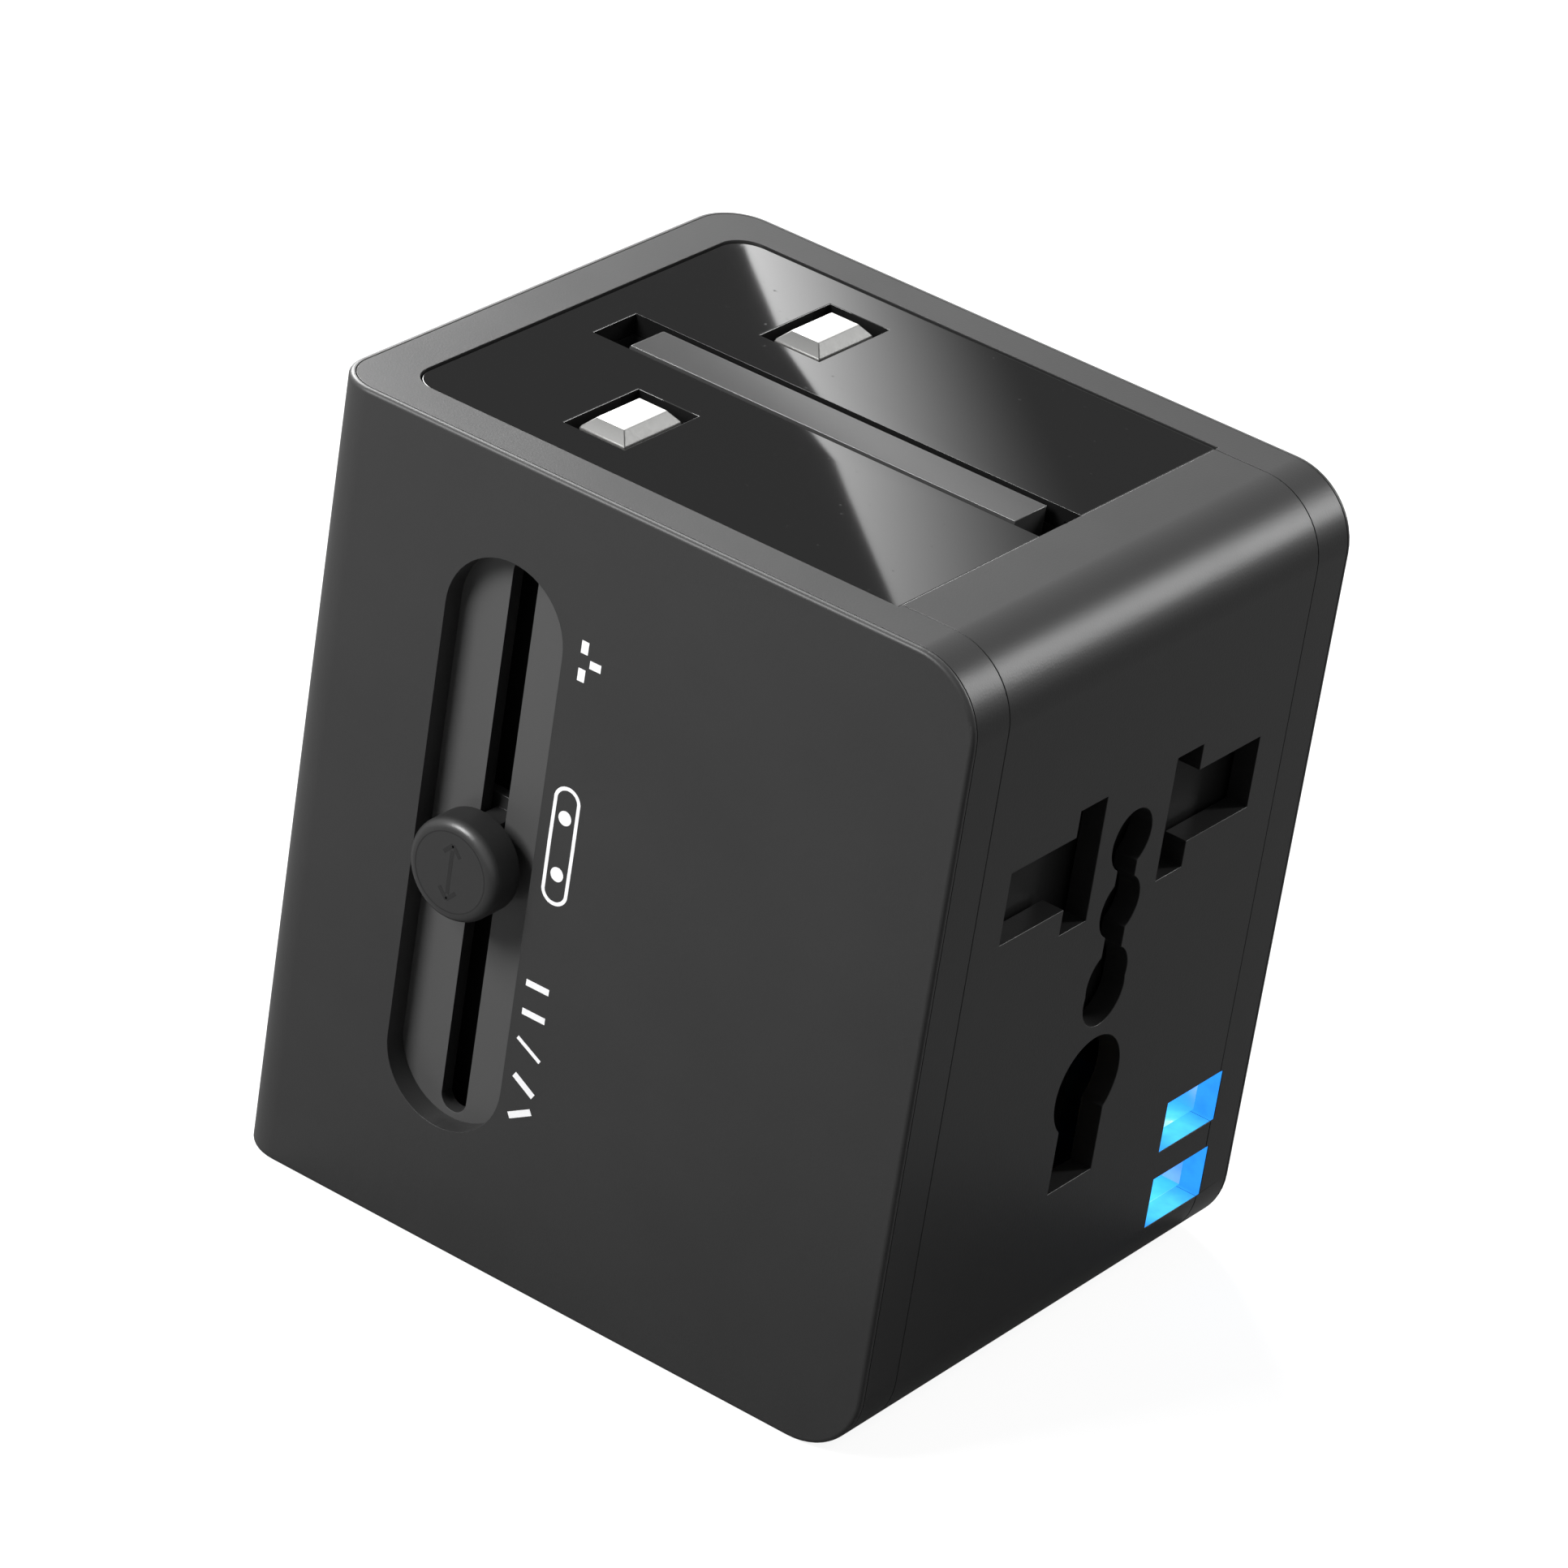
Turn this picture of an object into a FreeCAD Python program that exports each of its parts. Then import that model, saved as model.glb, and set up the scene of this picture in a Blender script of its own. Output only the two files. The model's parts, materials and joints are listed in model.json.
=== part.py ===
"""Universal travel adapter: one solid per piece, every size bound to the sheet, in millimetres.

The origin is the middle of the bottom face.  +Z runs up to the British plug face, +X towards the
socket face and -Y towards the slider face.
"""
import FreeCAD, Part
import math
import os

import Sketcher

doc = FreeCAD.newDocument("travel_adapter")
sheet = doc.addObject("Spreadsheet::Sheet", "dims")
V = FreeCAD.Vector

SIZES = [
    # casing
    ("body_width", 55.6), ("body_depth", 45.3), ("body_height", 61.6),
    ("wall", 1.8), ("lip", 0.45), ("seam", 0.06), ("left_round", 3.64), ("edge_round", 0.35),
    ("top_round", 5.4), ("bottom_round", 5.5), ("boss_side", 6.0), ("boss_tall", 10.0),
    ("screw_radius", 1.1), ("screw_head_radius", 2.2), ("screw_head_deep", 1.0), ("screw_long", 9.0),
    ("cover_half", 18.45), ("cover_start", 18.1),
    # plug face
    ("panel_inset", 4.1), ("panel_half", 18.75), ("panel_round", 2.1), ("panel_gap", 0.14),
    ("panel_drop", 0.15), ("panel_edge", 1.0), ("ledge", 1.1),
    ("slider_x", -10.36), ("pin_apart", 22.2), ("pin_wide", 6.35), ("pin_thick", 3.975),
    ("pin_reach", 17.7), ("pin_tip_up", 0.25), ("pin_root", 6.0), ("tip_chamfer", 0.8),
    ("window_wide", 8.4), ("window_thick", 5.2),
    # shuttle
    ("travel_end", 1.0), ("play", 0.35), ("snug", 0.05), ("cage_half", 5.6), ("cage_wall", 1.4),
    ("block_half", 5.3), ("block_reach", 15.0), ("tower_in", 7.6), ("tower_out", 14.8),
    # slider face
    ("track_rise", 1.0), ("track_half", 5.085), ("track_end", 8.5),
    ("track_plate", 1.2), ("track_lap", 2.0), ("slit_half", 1.1), ("knob_drop", 0.9),
    ("knob_radius", 3.85), ("knob_proud", 2.4), ("knob_round", 0.8), ("press", 1.2),
    ("neck_half", 0.9), ("neck_tall", 5.6),
    ("foot_half", 2.2), ("foot_thick", 0.9), ("spring_wire", 0.2), ("spring_radius", 0.9),
    # American and Australian blades
    ("blade_apart", 12.7), ("blade_wide", 6.35), ("blade_thick", 1.5), ("hub_radius", 3.4),
    ("hub_tall", 5.2), ("blade_window", 3.8), ("blade_up", 0.5), ("plate_half", 8.6),
    ("plate_reach", 13.0), ("plate_thick", 0.9),
    # folding earth pin
    ("earth_apart", 22.2), ("earth_thick", 3.7), ("earth_half", 4.0), ("earth_reach", 22.7),
    ("earth_tip", -18.0), ("earth_root", 15.5), ("root_round", 0.6), ("slot_left", -20.5),
    ("slot_wide", 4.94), ("earth_drop", 0.05), ("floor_gap", 0.35), ("axle_radius", 0.8),
    ("channel_wall", 1.2), ("well_back", 3.4),
    # folding European pins
    ("euro_inset", 3.3), ("euro_z", 36.0), ("euro_apart", 19.0), ("euro_radius", 2.0),
    ("euro_reach", 19.0), ("carrier_radius", 2.9), ("carrier_half", 12.8), ("tray_wall", 1.0),
    ("groove_half", 2.5), ("nail_gap", 2.1),
    # socket face
    ("contact_drop", 20.1), ("uk_in", 7.3), ("uk_out", 15.0), ("uk_tall", 5.6), ("tall_in", 4.2),
    ("tall_out", 7.4), ("tall_high", 9.7), ("round_hole", 2.35), ("second_drop", 5.3),
    ("third_drop", 11.65), ("third_long", 1.2), ("earth_hole_drop", 19.6), ("earth_hole", 3.85),
    ("earth_hole_under", 7.9), ("earth_side", 2.65), ("cup_wall", 0.5), ("cup_out", 15.3), ("cup_in", 3.6),
    ("cup_deep", 13.5), ("block_inset", 4.8), ("block_wall", 1.0), ("earth_cup_deep", 18.5),
    ("shutter_gap", 1.6), ("shutter_thick", 1.0), ("shutter_half", 15.6), ("shutter_under", 5.5),
    ("shutter_tall", 10.9), ("shutter_travel", 10.4), ("tongue_half", 4.1), ("tongue_long", 9.4),
    ("rail_wide", 1.1), ("shutter_coil_radius", 0.9), ("shutter_coil_wire", 0.2),
    ("shutter_coil_long", 11.7), ("shutter_coil_y", 7.0),
    # charger
    ("port_near", 11.85), ("port_wide", 7.0), ("port_tall", 4.1), ("upper_port", 13.65),
    ("lower_port", 7.3), ("port_wall", 0.3), ("tongue_thick", 1.5),
    ("tongue_inset", 3.2),
    ("board_inset", 17.8), ("board_thick", 1.2), ("board_start", -14.2), ("board_reach", 19.8),
    ("board_tall", 15.6), ("board_parts", 9.0), ("core_wide", 7.5), ("core_tall", 11.0),
    ("core_lift", 1.0), ("core_under", 4.6), ("capacitor_radius", 2.0), ("capacitor_lift", 0.4),
    ("capacitor_gap", 0.2),
    # current path
    ("rail_thick", 0.5), ("rail_half", 2.0), ("rail_y", 11.0), ("rail_low", 20.0), ("bar_rise", 3.1),
    ("bar_thick", 0.6), ("wiper_half", 1.5), ("wiper_tall", 5.0),
    ("fuse_x", 0.2), ("fuse_z", 31.2), ("fuse_radius", 3.0), ("fuse_long", 24.0), ("cap_long", 5.0),
]
# worked out from the sizes above; the slots keep the casing's own names
DERIVED = [
    ("right", "body_width / 2"), ("left", "-body_width / 2"), ("front", "-body_depth / 2"),
    ("back", "body_depth / 2"), ("panel_top", "body_height - panel_drop"),
    ("track_mid", "body_height / 2 + track_rise"), ("track_long", "body_height - 2 * track_end"),
    ("travel", "track_long / 2 - knob_radius - travel_end"), ("knob_z", "track_mid - knob_drop"),
    ("panel_left", "left + panel_inset"), ("euro_x", "left + euro_inset"),
    ("contact_z", "body_height - contact_drop"), ("second_z", "contact_z - second_drop"),
    ("third_z", "contact_z - third_drop"), ("earth_z", "contact_z - earth_hole_drop"),
    ("earth_low", "earth_z - earth_hole_under"), ("bar_z", "contact_z + bar_rise"),
    ("block_front", "right - block_inset"), ("cup_back", "block_front - cup_deep"),
    ("earth_cup_back", "block_front - earth_cup_deep"), ("shutter_x", "block_front + shutter_gap"),
    ("shutter_low", "contact_z - shutter_under"), ("tongue_low", "shutter_low - tongue_long"),
    ("board_x", "right - board_inset"),
    ("panel_seat", "panel_top - panel_edge"), ("ceiling", "body_height - wall"),
    ("pin_y", "pin_apart / 2"), ("blade_y", "blade_apart / 2"), ("euro_y", "euro_apart / 2"),
    ("block_low", "wall + travel + play"), ("tower_top", "ceiling - travel - play"),
    ("cage_reach", "block_reach + play"), ("earth_x", "slider_x + earth_apart"),
    ("earth_top", "panel_top - earth_drop"), ("bar_mid", "earth_top - earth_half"),
    ("pivot_z", "(body_height + earth_reach + earth_tip - earth_x + bar_mid) / 2"),
    ("pivot_x", "earth_x - bar_mid + pivot_z"),
    ("channel_floor", "bar_mid - earth_half - floor_gap"),
    ("root_sweep", "sqrt((earth_root - pivot_x) ^ 2 + (pivot_z - bar_mid + earth_half) ^ 2)"),
    ("well_floor", "pivot_z - root_sweep - floor_gap"),
    ("channel_low", "channel_floor - channel_wall"), ("channel_half", "slot_wide / 2"),
    ("block_mid_top", "channel_low - travel - play"), ("recess", "front + wall"),
    ("plate_seat", "plate_thick + panel_drop"), ("tray_back", "euro_x + carrier_radius + play"),
    ("groove_low", "euro_z + left - euro_x - euro_reach - nail_gap"),
]


def read(expression):
    """Value of an expression in the sheet's names."""
    return float(sheet.evalExpression(expression))


def fill_sheet():
    for row, (alias, value) in enumerate(SIZES + DERIVED, start=1):
        text = str(value) if not isinstance(value, str) else "=" + value
        sheet.set(f"A{row}", alias)
        sheet.set(f"B{row}", text)
        sheet.setAlias(f"B{row}", alias)
        doc.recompute()


fill_sheet()
NAMES = sorted((name for name, _ in SIZES + DERIVED), key=len, reverse=True)


def bound(expression):
    """The same expression with every name written as a cell of the sheet."""
    words = []
    word = ""
    for sign in str(expression) + " ":
        if sign.isalnum() or sign in "_.":
            word += sign
            continue
        words.append("dims." + word if word in NAMES else word)
        words.append(sign)
        word = ""
    return "".join(words).strip()


def box(name, x, y, z):
    """Box from three (low, high) pairs of expressions."""
    block = doc.addObject("Part::Box", name)
    for (low, high), side, place in zip((x, y, z), ("Length", "Width", "Height"), "xyz"):
        block.setExpression(side, bound(f"({high}) - ({low})"))
        block.setExpression(f"Placement.Base.{place}", bound(low))
    return block


TURNS = {"x": FreeCAD.Rotation(V(0, 1, 0), 90), "y": FreeCAD.Rotation(V(1, 0, 0), -90),
         "z": FreeCAD.Rotation()}


def rod(name, along, start, radius, length):
    """Cylinder along one axis from a start point of three expressions."""
    bar = doc.addObject("Part::Cylinder", name)
    bar.Placement = FreeCAD.Placement(V(), TURNS[along])
    bar.setExpression("Radius", bound(radius))
    bar.setExpression("Height", bound(length))
    for place, value in zip("xyz", start):
        bar.setExpression(f"Placement.Base.{place}", bound(value))
    return bar


def fuse(name, *pieces):
    joined = doc.addObject("Part::MultiFuse", name)
    joined.Shapes = list(pieces)
    joined.Refine = True
    return joined


def cut(name, base, *tools):
    left_over = doc.addObject("Part::Cut", name)
    left_over.Base = base
    left_over.Tool = tools[0] if len(tools) == 1 else fuse(name + "_tools", *tools)
    left_over.Refine = True
    return left_over


def common(name, *pieces):
    shared = doc.addObject("Part::MultiCommon", name)
    shared.Shapes = list(pieces)
    return shared


def origin_plane(body, role):
    return next(feature for feature in body.Origin.OriginFeatures if feature.Role == role)


def outline(sketch, corners):
    """Closed outline of (across, up, radius) corners, radius 0 for a sharp one, all bound."""
    count = len(corners)
    spots = [V(read(across), read(up), 0) for across, up, _ in corners]
    ends = []
    for index, (across, up, radius) in enumerate(corners):
        size = read(radius)
        before = (spots[index - 1] - spots[index]).normalize()
        after = (spots[(index + 1) % count] - spots[index]).normalize()
        ends.append((spots[index] + before * size, spots[index] + after * size, size))
    lines = []
    for index in range(count):
        start = ends[index][1]
        stop = ends[(index + 1) % count][0]
        lines.append(sketch.addGeometry(Part.LineSegment(start, stop), False))
    for index, (across, up, radius) in enumerate(corners):
        came, goes = lines[index - 1], lines[index]
        into, out, size = ends[index]
        if size == 0:
            sketch.addConstraint(Sketcher.Constraint("Coincident", came, 2, goes, 1))
            pin_point(sketch, goes, 1, across, up)
            continue
        middle = into + out - spots[index]
        halfway = middle + (spots[index] - middle).normalize() * size
        bend = sketch.addGeometry(Part.Arc(into, halfway, out), False)
        turned = (into - spots[index]).cross(out - spots[index]).z < 0
        first, last = (1, 2) if turned else (2, 1)
        sketch.addConstraint(Sketcher.Constraint("Tangent", came, 2, bend, first))
        sketch.addConstraint(Sketcher.Constraint("Tangent", bend, last, goes, 1))
        held = sketch.addConstraint(Sketcher.Constraint("Radius", bend, size))
        sketch.setExpression(f"Constraints[{held}]", bound(radius))
    for index, (across, up, _) in enumerate(corners):
        follow = corners[(index + 1) % count]
        if ends[index][2] == 0 and ends[(index + 1) % count][2] == 0:
            continue
        line = lines[index]
        level = abs(spots[index].y - spots[(index + 1) % count].y) < 1e-9
        sketch.addConstraint(Sketcher.Constraint("Horizontal" if level else "Vertical", line))
        if ends[index][2] and ends[(index + 1) % count][2]:
            kind, value = ("DistanceY", up) if level else ("DistanceX", across)
            held = sketch.addConstraint(Sketcher.Constraint(kind, -1, 1, line, 1, read(value)))
            sketch.setExpression(f"Constraints[{held}]", bound(value))


def pin_point(sketch, line, end, across, up):
    for kind, value in (("DistanceX", across), ("DistanceY", up)):
        held = sketch.addConstraint(Sketcher.Constraint(kind, -1, 1, line, end, read(value)))
        sketch.setExpression(f"Constraints[{held}]", bound(value))


def prism(name, role, corners, start, length, symmetric=False):
    """Body padded from one outline; start is how far along the plane's normal it begins."""
    body = doc.addObject("PartDesign::Body", name)
    sketch = body.newObject("Sketcher::SketchObject", name + "_outline")
    sketch.AttachmentSupport = [(origin_plane(body, role), "")]
    sketch.MapMode = "FlatFace"
    outline(sketch, corners)
    sketch.setExpression("AttachmentOffset.Base.z", bound(start))
    doc.recompute()
    pad = body.newObject("PartDesign::Pad", name + "_pad")
    pad.Profile = sketch
    pad.Midplane = symmetric
    pad.setExpression("Length", bound(length))
    doc.recompute()
    return body


def mirrored(name, source):
    """The same piece on the other side of the middle plane."""
    twin = doc.addObject("Part::Mirroring", name)
    twin.Source = source
    twin.Normal = V(0, 1, 0)
    return twin


def both_sides(name, source):
    return fuse(name, source, mirrored(name + "_twin", source))


def eased(name, base, edge_test, size, bevel=False):
    """Round or bevel the edges of base that pass the test."""
    doc.recompute()
    chosen = [number for number, edge in enumerate(base.Shape.Edges, start=1) if edge_test(edge)]
    worked = doc.addObject("Part::Chamfer" if bevel else "Part::Fillet", name)
    worked.Base = base
    worked.Edges = [(number, read(size), read(size)) for number in chosen]
    return worked


def side_profile(name, inset, depth):
    """Casing profile seen from the slider face, inset all round, with its bends."""
    low, high = f"{inset}", f"body_height - ({inset})"
    near, far = f"left + ({inset})", f"right - ({inset})"
    corners = [(near, low, "0"), (far, low, f"bottom_round - ({inset})"),
               (far, high, f"top_round - ({inset})"), (near, high, "0")]
    return prism(name, "XZ_Plane", corners, "0", depth, symmetric=True)


def plan_profile(name, inset):
    """Casing outline from above, inset at the front, left and back, with its two left rounds."""
    near, far = f"front + ({inset})", f"back - ({inset})"
    edge = f"left + ({inset})"
    radius = f"left_round - ({inset})"
    corners = [(edge, near, radius), ("right + wall", near, "0"), ("right + wall", far, "0"),
               (edge, far, radius)]
    return prism(name, "XY_Plane", corners, "-wall", "body_height + 2 * wall")


def slider_span(low, high):
    return (f"slider_x - ({low})", f"slider_x + ({high})")


def both(half):
    return (f"-({half})", f"{half}")


# ---------------------------------------------------------------- casing

BOSSES = [("left + wall + 1.4", "front + wall"), ("left + wall + 1.4", "back - wall - boss_side"),
          ("cover_start - 2.6 - boss_side", "front + wall"), ("0.4", "back - wall - boss_side")]


def boss_middle(boss):
    return f"({boss[0]}) + boss_side / 2", f"({boss[1]}) + boss_side / 2"


def stadium(name, half, long, start, length):
    """Upright slot shape on the slider face."""
    corners = [("slider_x - (%s)" % half, "track_mid - (%s) / 2" % long, f"{half} - 0.001"),
               ("slider_x + (%s)" % half, "track_mid - (%s) / 2" % long, f"{half} - 0.001"),
               ("slider_x + (%s)" % half, "track_mid + (%s) / 2" % long, f"{half} - 0.001"),
               ("slider_x - (%s)" % half, "track_mid + (%s) / 2" % long, f"{half} - 0.001")]
    return prism(name, "XZ_Plane", corners, start, length)


def tray_hole(name, gap):
    return box(name, ("left - 1", f"tray_back + tray_wall + ({gap})"),
               both(f"carrier_half + play + tray_wall + ({gap})"),
               (f"groove_low - tray_wall - ({gap})",
                f"euro_z + carrier_radius + play + tray_wall + ({gap})"))


def wrap_zone(name, gap):
    """Space of the band that runs over the top, down the socket face and under the bottom."""
    outer = side_profile(name + "_outer", "0", "body_depth")
    inner = side_profile(name + "_inner", f"wall + ({gap})", "body_depth + 2")
    inner_long = box(name + "_inner_long", ("left - 1", "left + 2 * wall"), both("back + 1"),
                     (f"wall + ({gap})", f"body_height - wall - ({gap})"))
    band = cut(name + "_band", outer, fuse(name + "_core", inner, inner_long))
    return common(name, band, plan_profile(name + "_plan", f"lip + seam - ({gap})"))


def on_rim(edge):
    """True for an edge that lies in the front or back face, or round the left of top or bottom."""
    bounds = edge.BoundBox
    deep = read("back") - 0.01
    level = bounds.ZLength < 0.01 and min(bounds.ZMin, read("body_height") - bounds.ZMax) < 0.01
    flat = bounds.YLength < 0.01 and abs(bounds.YMin) > deep
    return (flat and bounds.XMax > read("left + left_round") + 0.01) or (
        level and bounds.XMin < read("left + left_round") - 0.01)


def main_shell():
    sharp = common("shell_sharp", side_profile("shell_side", "0", "body_depth"),
                   plan_profile("shell_plan", "0"))
    outer = eased("shell_outer", sharp, on_rim, "edge_round")
    inner = box("shell_inside", ("left + wall", "right + 1"), both("back - wall"),
                ("-1", "body_height + 1"))
    bosses = [box(f"boss_{number}", (boss[0], f"({boss[0]}) + boss_side"),
                  (boss[1], f"({boss[1]}) + boss_side"), ("wall", "wall + boss_tall"))
              for number, boss in enumerate(BOSSES)]
    holes = [rod(f"boss_hole_{number}", "z", (*boss_middle(boss), "0"), "screw_radius",
                 "screw_head_deep + screw_long + play") for number, boss in enumerate(BOSSES)]
    walls = cut("shell_walls", outer, inner, wrap_zone("shell_wrap_room", "seam"))
    solid = fuse("shell_solid", walls, *bosses)
    opening = stadium("track_opening", "track_half", "track_long", "-front - wall - 0.5", "wall + 1")
    return cut("main_shell", solid, opening, tray_hole("tray_room", "snug"), *holes)


def panel_outline(name, grow, low, high):
    corners = [(f"panel_left - ({grow})", f"-panel_half - ({grow})", f"panel_round + ({grow})"),
               (f"cover_start - panel_gap + ({grow})", f"-panel_half - ({grow})", "0"),
               (f"cover_start - panel_gap + ({grow})", f"panel_half + ({grow})", "0"),
               (f"panel_left - ({grow})", f"panel_half + ({grow})", f"panel_round + ({grow})")]
    return prism(name, "XY_Plane", corners, low, f"({high}) - ({low})")


def plate_outline(name, grow, low, high):
    corners = [(f"slider_x - plate_half - ({grow})", f"-plate_reach - ({grow})", "panel_round"),
               (f"slider_x + plate_half + ({grow})", f"-plate_reach - ({grow})", "panel_round"),
               (f"slider_x + plate_half + ({grow})", f"plate_reach + ({grow})", "panel_round"),
               (f"slider_x - plate_half - ({grow})", f"plate_reach + ({grow})", "panel_round")]
    return prism(name, "XY_Plane", corners, low, f"({high}) - ({low})")


def cover_zone(name, gap):
    return box(name, (f"cover_start - ({gap})", "right + 1"), both(f"cover_half + ({gap})"),
               ("-1", "body_height + 1"))


def port_hole(name, middle, grow, x):
    return box(name, x, (f"port_near - ({grow})", f"port_near + port_wide + ({grow})"),
               (f"{middle} - port_tall / 2 - ({grow})", f"{middle} + port_tall / 2 + ({grow})"))


def wrap_cover():
    band = wrap_zone("wrap_band", "0")
    opening = panel_outline("panel_pocket", "panel_gap", "panel_seat", "body_height + 1")
    through = panel_outline("panel_through", "-ledge", "ceiling - 1", "body_height + 1")
    plate_pocket = plate_outline("plate_pocket", "panel_gap", "-1", "plate_seat")
    plate_through = plate_outline("plate_through", "-ledge", "-1", "wall + 1")
    heads = [rod(f"head_room_{number}", "z", (*boss_middle(boss), "-0.5"),
                 "screw_head_radius + snug", "screw_head_deep + 0.5 + snug")
             for number, boss in enumerate(BOSSES)]
    shanks = [rod(f"shank_room_{number}", "z", (*boss_middle(boss), "-1"), "screw_radius + snug",
                  "wall + 2") for number, boss in enumerate(BOSSES)]
    ports = [port_hole(f"wrap_{level}", level, "0", ("right - 2 * wall", "right + 1"))
             for level in ("upper_port", "lower_port")]
    return cut("wrap_cover", band, opening, through, plate_pocket, plate_through,
               cover_zone("cover_room", "seam"), *heads, *shanks, *ports)


def aperture_tools():
    """Every hole of the socket face, each right through the cover."""
    x = ("right - 2 * wall", "right + 1")
    start = "right - 2 * wall"
    flat = box("uk_hole", x, ("uk_in", "uk_out"), both_about("contact_z", "uk_tall / 2"))
    tall = box("tall_hole", x, ("tall_in", "tall_out"), both_about("contact_z", "tall_high / 2"))
    pair = both_sides("pole_holes", fuse("pole_hole", flat, tall))
    rounds = [rod("round_top", "x", (start, "0", "contact_z"), "round_hole", "3 * wall"),
              rod("round_second", "x", (start, "0", "second_z"), "round_hole", "3 * wall"),
              rod("round_third", "x", (start, "0", "third_z - third_long / 2"), "round_hole + 0.1",
                  "3 * wall"),
              rod("round_third_top", "x", (start, "0", "third_z + third_long / 2"),
                  "round_hole + 0.1", "3 * wall"),
              rod("earth_round", "x", (start, "0", "earth_z"), "earth_hole", "3 * wall")]
    link = box("hole_link", x, both("round_hole / 2"), ("third_z", "contact_z"))
    earth = box("earth_flat", x, both("earth_side"), ("earth_low", "earth_z"))
    return [pair, *rounds, link, earth]


def both_about(middle, half):
    return (f"{middle} - ({half})", f"{middle} + ({half})")


def socket_cover():
    band = common("cover_strip", wrap_zone("cover_band", "0"), cover_zone("cover_span", "0"))
    ports = [port_hole(f"cover_{level}", level, "0", ("right - 2 * wall", "right + 1"))
             for level in ("upper_port", "lower_port")]
    return cut("socket_cover", band, *aperture_tools(), *ports)


def plug_panel():
    plate = panel_outline("panel_plate", "0", "panel_seat", "panel_top")
    under = panel_outline("panel_under", "-ledge - panel_gap", "ceiling", "panel_seat + 0.01")
    window = box("pin_window", slider_span("window_thick / 2", "window_thick / 2"),
                 both_about("pin_y", "window_wide / 2"), ("ceiling - 1", "body_height + 1"))
    slot = box("earth_slot", ("slot_left", "cover_start + 1"), both("slot_wide / 2"),
               ("ceiling - 1", "body_height + 1"))
    return cut("plug_panel", fuse("panel_solid", plate, under), both_sides("windows", window), slot)


def blade_plate():
    plate = plate_outline("blade_plate_flat", "0", "panel_drop", "plate_seat")
    hole = rod("blade_hole", "z", ("slider_x", "blade_y", "-1"), "blade_window", "wall + 2")
    return cut("blade_plate", plate, both_sides("blade_holes", hole))


def case_screws():
    screws = []
    for number, boss in enumerate(BOSSES):
        middle = boss_middle(boss)
        head = rod(f"screw_head_{number}", "z", (*middle, "0.1"), "screw_head_radius",
                   "screw_head_deep - 0.1")
        shank = rod(f"screw_shank_{number}", "z", (*middle, "0.1"), "screw_radius",
                    "screw_head_deep + screw_long - 0.1")
        drive = box(f"screw_drive_{number}", both_about(middle[0], "0.25"),
                    both_about(middle[1], "screw_head_radius - 0.8"), ("-1", "0.6"))
        cross = box(f"screw_cross_{number}", both_about(middle[0], "screw_head_radius - 0.8"),
                    both_about(middle[1], "0.25"), ("-1", "0.6"))
        screws.append(cut(f"screw_{number}", fuse(f"screw_solid_{number}", head, shank), drive, cross))
    group = doc.addObject("Part::Compound", "case_screws")
    group.Links = screws
    return group


# ---------------------------------------------------------------- slider and shuttle

def slider_track():
    """Stadium floor behind the slider opening, with the slit that the knob's neck runs in."""
    plate = stadium("track_floor", "track_half + track_lap", "track_long + 2 * track_lap",
                    "-recess - track_plate", "track_plate")
    slit = stadium("track_slit", "slit_half", "track_long - 1", "-recess - track_plate - 1",
                   "track_plate + 2")
    return cut("slider_track", plate, slit)


def shuttle_cage():
    """Upright guide tube of the shuttle, open at both ends, with slots for neck and busbars."""
    outer = box("cage_outer", slider_span("cage_half + cage_wall", "cage_half + cage_wall"),
                both("cage_reach + cage_wall"), ("wall", "channel_low"))
    inner = box("cage_inner", slider_span("cage_half", "cage_half"), both("cage_reach"),
                ("0", "body_height"))
    neck = box("cage_neck_slot", slider_span("slit_half + 0.5", "slit_half + 0.5"),
               ("-cage_reach - 2 * cage_wall", "-cage_reach + 1"),
               both_about("knob_z", "travel + neck_tall / 2 + play"))
    rail = box("cage_rail_room", ("slider_x + cage_half - 1", "slider_x + cage_half + rail_thick"),
               both_about("rail_y", "rail_half + snug"), ("rail_low - snug", "body_height"))
    bar = box("cage_bar_room", ("slider_x", "slider_x + cage_half + 2 * cage_wall"),
              both_about("rail_y", "rail_half + snug"), ("bar_z - snug", "bar_z + bar_thick + snug"))
    return cut("shuttle_cage", outer, inner, neck, both_sides("rail_rooms", fuse("rail_room", rail, bar)))


def shuttle_block():
    """Sliding carrier of the live pins: a middle web, two towers, a neck pocket, two hub seats."""
    x = slider_span("block_half", "block_half")
    web = box("block_web", x, both("block_reach"), ("block_low", "block_mid_top"))
    tower = box("block_tower", x, ("tower_in", "tower_out"), ("block_low", "tower_top"))
    pin = box("block_pin_room", slider_span("pin_thick / 2", "pin_thick / 2"),
              both_about("pin_y", "pin_wide / 2"), ("tower_top - pin_root", "tower_top + 1"))
    hub = rod("block_hub_room", "z", ("slider_x", "blade_y", "block_low - 1"), "hub_radius + snug",
              "hub_tall + 1 + snug")
    wiper = box("block_wiper_room", ("slider_x + block_half - rail_thick", "slider_x + block_half + 1"),
                both_about("rail_y", "wiper_half + 0.01"),
                both_about("tower_top - 1.2 - wiper_tall / 2", "wiper_tall / 2 + 0.01"))
    neck = box("block_neck_room", slider_span("neck_half + play", "neck_half + play"),
               ("-block_reach - 1", "-block_reach + 3.4"),
               both_about("knob_z", "neck_tall / 2 + play"))
    seat = rod("block_spring_room", "y", ("slider_x", "-block_reach", "knob_z"),
               "spring_radius + 2 * spring_wire", "7")
    return cut("shuttle_block", fuse("block_solid", web, both_sides("block_towers", tower)),
               both_sides("block_rooms", fuse("block_room", pin, hub, wiper)), neck, seat)


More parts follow.
